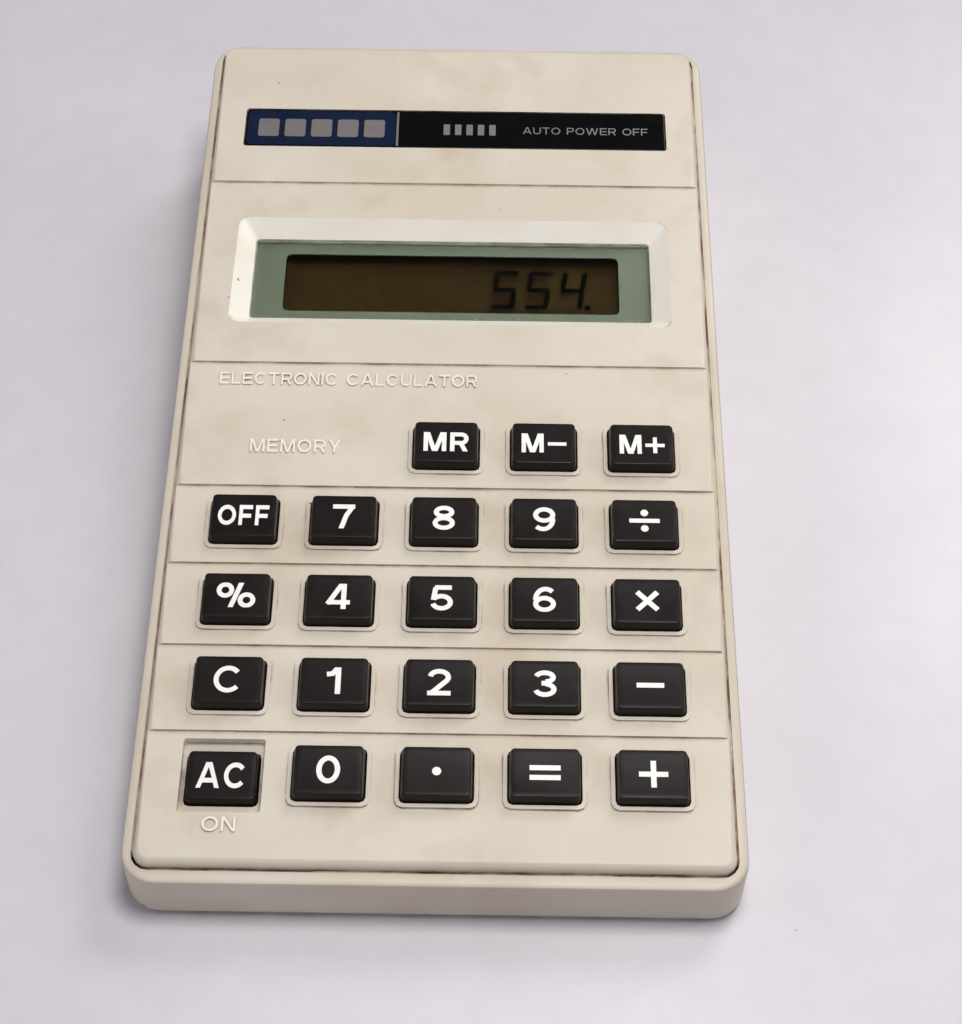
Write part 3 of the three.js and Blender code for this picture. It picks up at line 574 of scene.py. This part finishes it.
def cross(x, y, size, stroke, turn=0.0):
    """A plus sign, or turned, a multiplication sign, as corners of one flat face."""
    a, b = size / 2, stroke / 2
    corners = [(b, b), (b, a), (-b, a), (-b, b), (-a, b), (-a, -b),
               (-b, -b), (-b, -a), (b, -a), (b, -b), (a, -b), (a, b)]
    c, s = math.cos(turn), math.sin(turn)
    return [(x + p * c - q * s, y + p * s + q * c) for p, q in corners]


def arc(x, y, rx, ry, start, end):
    """Points along part of an ellipse, in degrees from the right."""
    steps = max(4, int(abs(end - start) / 14))
    return [(x + rx * math.cos(math.radians(start + (end - start) * i / steps)),
             y + ry * math.sin(math.radians(start + (end - start) * i / steps)))
            for i in range(steps + 1)]


def letter_strokes(letter, t):
    """Width and middle lines of a plain wide letter one unit tall, drawn with stroke t."""
    h = t / 2
    w = {"I": t, "1": 0.46, "T": 0.84, "L": 0.7, "E": 0.78, "F": 0.74, "M": 1.04, "W": 1.4,
         "O": 1.0, "C": 0.96, "A": 1.0, "Y": 0.92, "%": 1.38, "R": 0.84, "P": 0.8, "N": 0.86,
         "U": 0.86, " ": 0.4}.get(letter, 0.78)
    left, right, top, half = h, w - h, 1 - h, w / 2
    stem, far_stem = [(left, 0), (left, 1)], [(right, 0), (right, 1)]
    bowl = (top - 0.45) / 2
    round_bowl = [(left, top), (right - bowl, top)] + arc(
        right - bowl, top - bowl, bowl, bowl, 80, -80) + [(right - bowl, 0.45), (left, 0.45)]
    six = [arc(half, 0.32, half - h, 0.32 - h, 0, 360),
           arc(half + 0.04, 0.5, half - h + 0.04, 0.5 - h, 185, 48)]
    lines = {
        "O": [arc(half, 0.5, half - h, 0.5 - h, 0, 360)],
        "C": [arc(half, 0.5, half - h, 0.5 - h, 40, 320)],
        "E": [stem, [(left, top), (w, top)], [(left, 0.5), (w - 0.05, 0.5)], [(left, h), (w, h)]],
        "F": [stem, [(left, top), (w, top)], [(left, 0.47), (w - 0.07, 0.47)]],
        "L": [stem, [(left, h), (w, h)]],
        "T": [[(0, top), (w, top)], [(half, 0), (half, 1)]],
        "I": [stem],
        "N": [stem, far_stem, [(left, 1.02), (right, -0.02)]],
        "M": [stem, far_stem, [(left + h * 0.4, 1.1), (half, -0.06)],
              [(right - h * 0.4, 1.1), (half, -0.06)]],
        "W": [[(h, 1.1), (w * 0.27, -0.05)], [(half, 1.05), (w * 0.27, -0.05)],
              [(half, 1.05), (w * 0.73, -0.05)], [(w - h, 1.1), (w * 0.73, -0.05)]],
        "A": [[(h * 0.9, -0.05), (half - h * 0.15, 1.05)],
              [(w - h * 0.9, -0.05), (half + h * 0.15, 1.05)], [(w * 0.2, 0.3), (w * 0.8, 0.3)]],
        "Y": [[(h, 1.05), (half, 0.4)], [(w - h, 1.05), (half, 0.4)], [(half, 0), (half, 0.5)]],
        "R": [stem, round_bowl, [(w * 0.58, 0.45), (w - h * 1.1, -0.05)]],
        "P": [stem, round_bowl],
        "U": [[(left, 1)] + arc(half, 0.4, half - h, 0.4 - h, 180, 360) + [(right, 1)]],
        "%": [arc(0.3, 0.7, 0.3 - h * 0.85, 0.3 - h * 0.85, 0, 360),
              arc(w - 0.3, 0.3, 0.3 - h * 0.85, 0.3 - h * 0.85, 0, 360),
              [(half - 0.2, -0.1), (half + 0.2, 1.1)]],
        "0": [arc(half, 0.5, half - h, 0.5 - h, 0, 360)],
        "1": [far_stem, [(0, 0.74), (w * 0.42, 0.77), (right, 1.02)]],
        "2": [arc(half, 0.69, half - h, 0.31 - h, 172, -32) + [(h * 1.5, h)], [(0, h), (w, h)]],
        "3": [arc(half, 0.745, half - h - 0.02, 0.255 - h, 168, -85),
              arc(half, 0.29, half - h, 0.29 - h, 85, -168), [(w * 0.36, 0.52), (half + 0.08, 0.52)]],
        "4": [[(0.02, 0.2), (w * 0.72, 1.12)], [(0, 0.27), (w, 0.27)],
              [(w * 0.72, 0), (w * 0.72, 1)]],
        "5": [[(w * 0.2, top), (w - 0.05, top)], [(w * 0.24, top), (w * 0.14, 0.42)],
              arc(half, 0.33, half - h, 0.33 - h, 142, -165)],
        "6": six,
        "7": [[(0, top), (w, top)], [(right, top), (w * 0.62, 0.55), (w * 0.38, -0.1)]],
        "8": [arc(half, 0.745, half - h - 0.03, 0.26 - h, 0, 360),
              arc(half, 0.29, half - h, 0.29 - h, 0, 360)],
        "9": [[(w - x, 1 - y) for x, y in line] for line in six],
    }
    return w, lines.get(letter, [])


def stroke_faces(line, t):
    """A line drawn with a flat pen: one four-sided face for each straight piece, with the
    ends cut level at the foot and head of the letter."""
    closed = line[0] == line[-1] or math.dist(line[0], line[-1]) < 1e-9
    sides = []
    for i, (x, y) in enumerate(line):
        before = line[i - 1] if i else (line[-2] if closed else None)
        after = line[i + 1] if i + 1 < len(line) else (line[1] if closed else None)
        normals = []
        for a, b in ((before, (x, y)), ((x, y), after)):
            if a and b:
                run = math.dist(a, b)
                normals.append(((a[1] - b[1]) / run, (b[0] - a[0]) / run))
        nx, ny = (sum(n[k] for n in normals) / len(normals) for k in (0, 1))
        reach = t / 2 / max(nx * nx + ny * ny, 0.45)
        sides.append(((x + nx * reach, y + ny * reach), (x - nx * reach, y - ny * reach)))
    faces = []
    for (a, b), (c, d) in zip(sides, sides[1:]):
        face = [b, d, c, a]
        for edge, sign in ((0.0, 1), (1.0, -1)):
            kept = []
            for p, q in zip(face, face[1:] + face[:1]):
                if sign * (p[1] - edge) >= 0:
                    kept.append(p)
                if (p[1] - edge) * (q[1] - edge) < 0:
                    share = (edge - p[1]) / (q[1] - p[1])
                    kept.append((p[0] + share * (q[0] - p[0]), edge))
            face = kept
        if len(face) > 2:
            faces.append(face)
    return faces


def lettering(shape, text, height, width, stroke, middle=(0.0, 0.0)):
    """Adds a word as one flat outline without overlaps, fitted to a width and a height."""
    t, cursor, faces = stroke / height, 0.0, []
    for letter in text:
        wide, lines = letter_strokes(letter, t)
        for line in lines:
            faces += [[(x + cursor, y) for x, y in face] for face in stroke_faces(line, t)]
        cursor += wide + 0.17
    cursor -= 0.17
    points = [Vector(((x / cursor - 0.5) * width + middle[0],
                      (y - 0.5) * height + middle[1])) * 1000 for face in faces for x, y in face]
    corners, start = [], 0
    for face in faces:
        corners.append(list(range(start, start + len(face))))
        start += len(face)
    flat = delaunay_2d_cdt(points, [], corners, 1, 1e-4, True)
    made = [shape.verts.new((p.x * MM, p.y * MM, 0)) for p in flat[0]]
    for triangle, came_from in zip(flat[2], flat[5]):
        if came_from:
            shape.faces.new([made[i] for i in triangle])


def raised(shape, level_at, sink, cuts=()):
    """Turns flat faces into a thin layer that follows a surface: level_at(x, y) is the top
    of the layer, and cuts are the lines along which it is divided so that it can bend."""
    for y in cuts:
        bmesh.ops.bisect_plane(shape, geom=shape.verts[:] + shape.edges[:] + shape.faces[:],
                               plane_co=(0, y, 0), plane_no=(0, 1, 0))
    for vertex in [v for v in shape.verts if not v.link_faces]:
        shape.verts.remove(vertex)
    top = shape.faces[:]
    made = bmesh.ops.extrude_face_region(shape, geom=top)
    lower = [v for v in made["geom"] if isinstance(v, bmesh.types.BMVert)]
    for vertex in shape.verts:
        vertex.co.z = level_at(vertex.co.x, vertex.co.y)
    for vertex in lower:
        vertex.co.z -= sink


key_plastic, tree, shader = new_material("dark_brown_key_plastic")
shader.inputs["Specular IOR Level"].default_value = 0.13
shade = place(tree, cloudy, Size=0.006)["Mask"]
colour = blend_colours(tree, shade, seen(25, 20, 21), seen(34, 27, 27))
# Lighter brown along the rounded edges of the keys: a painted edge highlight, laid with the edge mask.
rubbed = place(tree, worn_and_lit_edges, Width=0.0002, Amount=0.3)["Mask"]
colour = blend_colours(tree, rubbed, colour, seen(92, 72, 60))
lint = place(tree, flecks, Spacing=0.003, Largest=0.0002, Share=0.3)["Mask"]
colour = blend_colours(tree, maths(tree, "MULTIPLY", lint, 0.5), colour, seen(150, 140, 128))
skin = place(tree, moulded, Grain=0.00016, Wave=0.004)
surface(tree, shader, colour, spread(tree, skin["Roughness"], 0, 1, 0.28, 0.42),
        skin["Height"], 5e-6)

legend_ink, tree, shader = new_material("white_legend")
shade = place(tree, cloudy, Size=0.0008, Contrast=0.3)["Mask"]
colour = blend_colours(tree, shade, seen(250, 250, 248), seen(232, 230, 226))
skin = place(tree, moulded, Grain=0.00008, Wave=0.001)
surface(tree, shader, colour, spread(tree, skin["Roughness"], 0, 1, 0.35, 0.55),
        skin["Height"], 3e-6)


WORD_STROKE, DIGIT_HIGH, DIGIT_STROKE_WIDE = 0.58 * MM, 3.45 * MM, 0.6 * MM


def legend_for(node):
    """The flat shape of a key's legend, in metres round the middle of its top."""
    shape = bmesh.new()
    signs = {
        "key_divide": [bar(0, 0, 3.7, 0.58), dot(0, 1.12, 0.47), dot(0, -1.12, 0.47)],
        "key_multiply": [cross(0, 0, 3.4, 0.64, math.pi / 4)],
        "key_minus": [bar(0, 0, 3.2, 0.62)],
        "key_plus": [cross(0, 0, 3.3, 0.62)],
        "key_equals": [bar(0, 0.6, 3.5, 0.62), bar(0, -0.6, 3.5, 0.62)],
        "key_point": [dot(0, 0, 0.52)],
        "key_memory_minus": [bar(1.65, -0.1, 2.3, 0.5)],
        "key_memory_plus": [cross(1.65, -0.1, 2.4, 0.5)],
    }
    words = {"key_memory_recall": ("MR", 5.6, 2.85, 0), "key_memory_minus": ("M", 2.75, 2.85, -1.4),
             "key_memory_plus": ("M", 2.75, 2.85, -1.4), "key_off": ("OFF", 6.2, 2.9, 0),
             "key_percent": ("%", 4.6, 3.35, 0), "key_clear": ("C", 3.35, 3.5, 0),
             "key_on_all_clear": ("AC", 5.7, 3.2, 0)}
    for corners in signs.get(node, []):
        shape.faces.new([shape.verts.new((x * MM, y * MM, 0)) for x, y in corners])
    if node in words:
        text, width, height, x = words[node]
        lettering(shape, text, height * MM, width * MM, WORD_STROKE, (x * MM, 0))
    elif node not in signs:
        digit = node[-1]
        width = 1.65 if digit == "1" else 2.7
        lettering(shape, digit, DIGIT_HIGH, width * MM, DIGIT_STROKE_WIDE)
    return shape


for node in [n for n in frame["bodies"] if n.startswith("key_")]:
    cap, middle, half_depth = key_cap(node)
    new_piece(node + "_cap", cap, node, "key_cap", key_plastic, node)
    legend = legend_for(node)
    raised(legend, lambda x, y: dish_height(y, half_depth) * 0.9 + 0.02 * MM, 0.06 * MM,
           [i * 0.3 * MM for i in range(-6, 7)])
    bmesh.ops.transform(legend, verts=legend.verts,
                        matrix=face_turn @ Matrix.Translation(middle))
    new_piece(node + "_legend", mesh_of(node + "_legend", legend), node, "key_cap", legend_ink)


# ---- Name plate ---------------------------------------------------------------------
# A glossy black plate let into the head of the panel, with a navy end. Plain blocks and
# two generic words stand where the maker's lettering would be.

gloss_black, tree, shader = new_material("gloss_black_plate")
shader.inputs["Specular IOR Level"].default_value = 0.3
shade = place(tree, cloudy, Size=0.004)["Mask"]
dusty = place(tree, flecks, Spacing=0.0016, Largest=0.00012, Share=0.5)["Mask"]
colour = blend_colours(tree, maths(tree, "MULTIPLY", dusty, 0.5),
                       blend_colours(tree, shade, seen(4, 4, 5), seen(9, 8, 9)),
                       seen(120, 112, 104))
surface(tree, shader, colour, spread(tree, shade, 0, 1, 0.1, 0.16))

navy_print, tree, shader = new_material("navy_print")
shade = place(tree, cloudy, Size=0.003)["Mask"]
colour = blend_colours(tree, shade, seen(10, 24, 50), seen(16, 30, 56))
surface(tree, shader, colour, spread(tree, shade, 0, 1, 0.14, 0.26))

silver_print, tree, shader = new_material("silver_print")
shader.inputs["Metallic"].default_value = 0.55
shade = place(tree, cloudy, Size=0.0012, Contrast=0.3)["Mask"]
colour = blend_colours(tree, shade, seen(158, 152, 152), seen(132, 126, 126))
surface(tree, shader, colour, spread(tree, shade, 0, 1, 0.3, 0.45))

new_piece("plate_body", with_rounded_edges("name_plate", 0.12 * MM), "root", "name_plate",
          gloss_black, "name_plate")
plate_low, plate_high = face_box("name_plate")
plate_middle = (plate_low + plate_high) / 2
plate_top = plate_high.z


def printed_on(name, shape, level, material, slot):
    """A thin printed layer that stands just proud of a flat surface of the face."""
    raised(shape, lambda x, y: level, 0.03 * MM)
    bmesh.ops.transform(shape, verts=shape.verts, matrix=face_turn)
    return new_piece(name, mesh_of(name, shape), "root", slot, material)


def flat_bars(rectangles):
    shape = bmesh.new()
    for x, y, width, height in rectangles:
        loop = rounded_loop(width / 2, height / 2, min(width, height) * 0.12, 3)
        shape.faces.new([shape.verts.new((x + px, y + py, 0)) for px, py in loop])
    return shape


navy_right = -8.4 * MM
navy_left = plate_low.x + 0.25 * MM
printed_on("plate_navy_end", flat_bars([((navy_left + navy_right) / 2, plate_middle.y,
                                         navy_right - navy_left,
                                         plate_high.y - plate_low.y - 0.5 * MM)]),
           plate_top + 0.01 * MM, navy_print, "name_plate")
printed_on("plate_divider", flat_bars([(navy_right + 0.3 * MM, plate_middle.y, 0.3 * MM,
                                        plate_high.y - plate_low.y - 0.5 * MM)]),
           plate_top + 0.015 * MM, silver_print, "name_plate")
block = 2.9 * MM
printed_on("plate_blocks",
           flat_bars([((navy_left + navy_right) / 2 + (i - 2) * (block + 0.8 * MM),
                       plate_middle.y, block, 3.3 * MM) for i in range(5)]),
           plate_top + 0.03 * MM, silver_print, "name_plate")
words = bmesh.new()
lettering(words, "AUTO POWER OFF", 1.3 * MM, 17.5 * MM, 0.17 * MM,
          (18.2 * MM, plate_middle.y))
printed_on("plate_words", words, plate_top + 0.015 * MM, silver_print, "name_plate")
marks = [(-1.2 * MM + i * 1.6 * MM, plate_middle.y, 0.9 * MM, 2.0 * MM) for i in range(5)]
printed_on("plate_marks", flat_bars(marks), plate_top + 0.015 * MM, silver_print,
           "name_plate")


# ---- Display ------------------------------------------------------------------------
# A clear acrylic window over a printed grey-green mask. Under them, two glasses with
# liquid crystal between, lit from above off a satin foil, show slanted seven-bar numbers.

def clear_pane(name, tint, rough, bend):
    """Clear material that lets light straight through to what lies below it."""
    made, tree, shader = new_material(name)
    shader.inputs["Transmission Weight"].default_value = 1.0
    shader.inputs["IOR"].default_value = bend
    smear = place(tree, cloudy, Size=0.007, Contrast=0.3)["Mask"]
    surface(tree, shader, blend_colours(tree, smear, tint, tuple(c * 0.97 for c in tint)),
            spread(tree, smear, 0, 1, *rough))
    straight = node_in(tree, "BsdfTransparent", {"Color": tint})
    shadow = node_in(tree, "LightPath").outputs["Is Shadow Ray"]
    chosen = node_in(tree, "MixShader", {0: shadow, 1: shader.outputs[0],
                                         2: straight.outputs[0]})
    tree.links.new(chosen.outputs[0], tree.nodes["Material Output"].inputs["Surface"])
    return made


window_acrylic = clear_pane("clear_acrylic", seen(247, 250, 248), (0.02, 0.07), 1.15)
display_glass = clear_pane("polarised_glass", seen(222, 218, 206), (0.05, 0.1), 1.06)
new_piece("window_pane", with_rounded_edges("display_window", 0.1 * MM), "root",
          "clear_window", window_acrylic, "display_window")

mask_print, tree, shader = new_material("grey_green_mask")
shade = place(tree, cloudy, Size=0.009, Contrast=0.3)["Mask"]
colour = blend_colours(tree, shade, seen(76, 83, 66), seen(67, 73, 58))
dusty = place(tree, flecks, Spacing=0.002, Largest=0.00015, Share=0.3)["Mask"]
colour = blend_colours(tree, maths(tree, "MULTIPLY", dusty, 0.5), colour,
                       seen(150, 150, 138))
skin = place(tree, moulded, Grain=0.0001, Wave=0.003)
surface(tree, shader, colour, spread(tree, skin["Roughness"], 0, 1, 0.4, 0.6),
        skin["Height"], 2e-6)
show_as("display_mask", mask_print)
show_as("display_front_glass", display_glass)
show_as("display_rear_glass", display_glass)

foil, tree, shader = new_material("satin_reflector_foil")
shader.inputs["Metallic"].default_value = 0.3
shade = place(tree, cloudy, Size=0.012, Contrast=0.35)["Mask"]
colour = blend_colours(tree, shade, seen(88, 74, 55), seen(74, 61, 46))
marks = place(tree, turned_metal)
surface(tree, shader, colour, marks["Roughness"], marks["Height"], 2e-6)
show_as("display_reflector", foil)

crystal, tree, shader = new_material("dark_crystal")
shader.inputs["Specular IOR Level"].default_value = 0.02
shade = place(tree, cloudy, Size=0.002)["Mask"]
surface(tree, shader, blend_colours(tree, shade, seen(6, 6, 4), seen(11, 11, 8)),
        spread(tree, shade, 0, 1, 0.4, 0.6))

DIGIT_HEIGHT, DIGIT_WIDTH, DIGIT_STROKE = 6.6 * MM, 3.4 * MM, 0.74 * MM
DIGIT_PITCH, DIGIT_SLANT = 4.57 * MM, math.tan(math.radians(8))
BARS_LIT = {"4": "fgbc", "5": "afgcd"}


def number_bars(text, right_end):
    """Slanted seven-bar numbers, the last one ending at right_end."""
    shape = bmesh.new()
    h, w, t = DIGIT_HEIGHT / 2, DIGIT_WIDTH / 2, DIGIT_STROKE / 2
    gap = 0.09 * MM
    level = {"a": (0, h - t), "g": (0, 0), "d": (0, -h + t)}
    upright = {"f": (-w + t, h / 2), "b": (w - t, h / 2), "e": (-w + t, -h / 2),
               "c": (w - t, -h / 2)}
    for place_from_right, digit in enumerate(reversed(text)):
        middle = right_end - DIGIT_WIDTH / 2 - place_from_right * DIGIT_PITCH
        for lit in BARS_LIT[digit]:
            if lit in level:
                x, y = level[lit]
                run = w - t - gap
                corners = [(-run - t, y), (-run, y - t), (run, y - t), (run + t, y),
                           (run, y + t), (-run, y + t)]
            else:
                x, y = upright[lit]
                run = h / 2 - t - gap
                corners = [(x, y - run - t), (x + t, y - run), (x + t, y + run),
                           (x, y + run + t), (x - t, y + run), (x - t, y - run)]
            shape.faces.new([shape.verts.new((middle + px + py * DIGIT_SLANT, py, 0))
                             for px, py in corners])
    point = right_end + 0.75 * MM - h * DIGIT_SLANT
    shape.faces.new([shape.verts.new((point + px, -h + t + py, 0))
                     for px, py in dot(0, 0, 0.44 * MM, 16)])
    return shape


glass_low, glass_high = face_box("display_front_glass")
numbers = number_bars("554", 18.0 * MM)
for vertex in numbers.verts:
    vertex.co.y += (glass_low.y + glass_high.y) / 2
rear_top = face_box("display_rear_glass")[1].z
printed_on("display_numbers", numbers, rear_top + 0.06 * MM, crystal, "display_glass")


# ---- Moulded words ------------------------------------------------------------------
# Small raised words moulded in one with the panel, in the same ivory ABS. Their tops are painted
# lighter, a painted highlight, and dirt with painted shade gathers round their feet.

def moulded_word(name, text, x, from_rear, width, height, rear, length):
    """A word proud of a strip, whose surface rises from its rear edge to its front edge."""
    shape = bmesh.new()
    lettering(shape, text, height * MM, width * MM, 0.15 * height * MM, (x * MM, 0))
    middle_y = face_front + (face_length - from_rear) * MM

    def level(px, py):
        run = from_rear - (py / MM) - rear
        return face_level + STRIP_STEP * run / length + WORD_RISE

    raised(shape, level, 0.3 * MM)
    bmesh.ops.transform(shape, verts=shape.verts,
                        matrix=face_turn @ Matrix.Translation((0, middle_y, 0)))
    new_piece(name, mesh_of(name, shape), "root", "panel_shell", lit_word_plastic)


STRIP_STEP, WORD_RISE = 0.35 * MM, 0.18 * MM
MEMORY_STRIP = {"rear": 56.85, "length": 19.1}
FRONT_STRIP = {"rear": 109.79, "length": 16.45}
panel_low, panel_high = face_box("front_panel")
face_front = panel_low.y
face_length = (panel_high.y - panel_low.y) / MM
# Lighter than the panel plastic: a painted highlight on the letter tops; the dirt colour also lays
# painted shade round them.
lit_word_plastic = aged_plastic("lit_raised_ivory_plastic", seen(240, 232, 216), seen(230, 220, 200),
                            seen(206, 186, 152), seen(120, 92, 66), dirt_and_shade_amount=0.8,
                            fleck_share=0.1)
moulded_word("word_electronic_calculator", "ELECTRONIC CALCULATOR", -12.8, 59.45, 33, 1.9,
             **MEMORY_STRIP)
moulded_word("word_memory", "MEMORY", -18.9, 70.05, 11.4, 2.0, **MEMORY_STRIP)
moulded_word("word_on", "ON", -24.2, 121.45, 3.8, 1.8, **FRONT_STRIP)


# ---- Parts inside: circuit board and display holder -----------------------------------
# What only shows with the case apart keeps its CAD shape and gets its own finish.

def simple_finish(name, first, second, rough, size=0.004, metallic=0.0, depth=4e-6):
    made, tree, shader = new_material(name)
    shader.inputs["Metallic"].default_value = metallic
    shade = place(tree, cloudy, Size=size, Contrast=0.3)["Mask"]
    skin = place(tree, moulded, Grain=0.0002, Wave=size)
    surface(tree, shader, blend_colours(tree, shade, first, second),
            spread(tree, skin["Roughness"], 0, 1, *rough), skin["Height"], depth)
    return made


black_moulding = simple_finish("black_moulding", seen(34, 34, 36), seen(46, 46, 48), (0.4, 0.6))
grey_rubber = simple_finish("grey_rubber", seen(132, 130, 126), seen(116, 114, 110), (0.6, 0.8))
board_laminate = simple_finish("board_laminate", seen(150, 126, 60), seen(120, 112, 52), (0.3, 0.5))
sleeve = simple_finish("capacitor_sleeve", seen(44, 70, 116), seen(34, 58, 100), (0.2, 0.35))
resistor = simple_finish("resistor_paint", seen(196, 166, 110), seen(180, 148, 96), (0.3, 0.5))
jacket = simple_finish("cell_jacket", seen(112, 132, 66), seen(92, 112, 56), (0.2, 0.35), 0.012)
red_wire = simple_finish("red_wire", seen(160, 38, 32), seen(140, 32, 28), (0.35, 0.5))
black_wire = simple_finish("black_wire", seen(28, 28, 30), seen(38, 38, 40), (0.35, 0.5))
for node, finish in {"display_holder": black_moulding, "processor_chip": black_moulding,
                     "display_connector": grey_rubber, "rubber_keypad": grey_rubber,
                     "circuit_board": board_laminate, "smoothing_capacitor": sleeve,
                     "timing_resistor": resistor, "rear_cell": jacket, "front_cell": jacket,
                     "bridge_contact": plated_steel, "positive_contact": plated_steel,
                     "negative_contact": plated_steel, "red_lead": red_wire,
                     "black_lead": black_wire}.items():
    show_as(node, finish)


# ---- Table, light and camera ----------------------------------------------------------
# A pale, faintly glossy table top, soft light from above and behind, and the camera.

table_top, tree, shader = new_material("pale_table")
shade = place(tree, cloudy, Size=0.035, Contrast=0.35)["Mask"]
fine = place(tree, cloudy, Size=0.006, Contrast=0.3)["Mask"]
colour = blend_colours(tree, shade, seen(219, 217, 223), seen(210, 206, 213))
colour = blend_colours(tree, maths(tree, "MULTIPLY", fine, 0.35), colour, seen(198, 192, 198))
specks = place(tree, flecks, Spacing=0.014, Largest=0.00035, Share=0.4)["Mask"]
colour = blend_colours(tree, maths(tree, "MULTIPLY", specks, 0.6), colour,
                       seen(124, 112, 118))
surface(tree, shader, colour, spread(tree, shade, 0, 1, 0.3, 0.34))
floor = bmesh.new()
bmesh.ops.create_grid(floor, x_segments=1, y_segments=1, size=2.0)
table = bpy.data.objects.new("table", mesh_of("table", floor))
bpy.context.scene.collection.objects.link(table)
table.location.z = cad_box[0][2] - 0.02 * MM
table.data.materials.append(table_top)


def soft_light(name, place_at, aim, size, power, tint):
    lamp = bpy.data.lights.new(name, "AREA")
    lamp.shape = "DISK"
    lamp.size = size
    lamp.energy = power
    lamp.color = tint
    holder = bpy.data.objects.new(name, lamp)
    bpy.context.scene.collection.objects.link(holder)
    holder.location = place_at
    holder.rotation_euler = (Vector(aim) - Vector(place_at)).to_track_quat("-Z", "Y").to_euler()


soft_light("ceiling_light", (0.05, -0.02, 0.36), (0.02, 0.0, 0), 0.14, 0.8, (1.0, 0.985, 0.95))
soft_light("window_light", (0.36, 0.5, 0.6), (0.02, 0, 0), 0.34, 2.2, (1.0, 0.99, 0.97))
soft_light("left_fill", (-0.9, -0.1, 0.45), (0, 0, 0), 0.7, 1.7, (0.95, 0.96, 1.0))
soft_light("right_fill", (0.9, 0.1, 0.5), (0, 0, 0), 0.7, 2.0, (0.95, 0.96, 1.0))
soft_light("front_fill", (0.0, -0.9, 0.45), (0, 0, 0), 0.7, 1.5, (0.92, 0.9, 1.0))
world = bpy.data.worlds.new("studio")
bpy.context.scene.world = world
world.use_nodes = True
world.node_tree.nodes["Background"].inputs["Color"].default_value = (0.93, 0.92, 0.98, 1)
world.node_tree.nodes["Background"].inputs["Strength"].default_value = 0.11
bpy.context.scene.view_settings.view_transform = "Standard"

camera = bpy.data.cameras.new("camera")
camera.lens = 74.936
camera.sensor_width = 36.0
camera.sensor_fit = "HORIZONTAL"
camera.clip_start = 0.01
holder = bpy.data.objects.new("camera", camera)
bpy.context.scene.collection.objects.link(holder)
camera_place = (0.0055, -0.16824, 0.20641)
tilt_down, turn_left, roll = math.radians(51.824), math.radians(0.379), math.radians(0.510)
holder.matrix_world = (Matrix.Translation(camera_place)
                       @ Matrix.Rotation(turn_left, 4, "Z")
                       @ Matrix.Rotation(math.pi / 2 - tilt_down, 4, "X")
                       @ Matrix.Rotation(roll, 4, "Z"))
bpy.context.scene.camera = holder
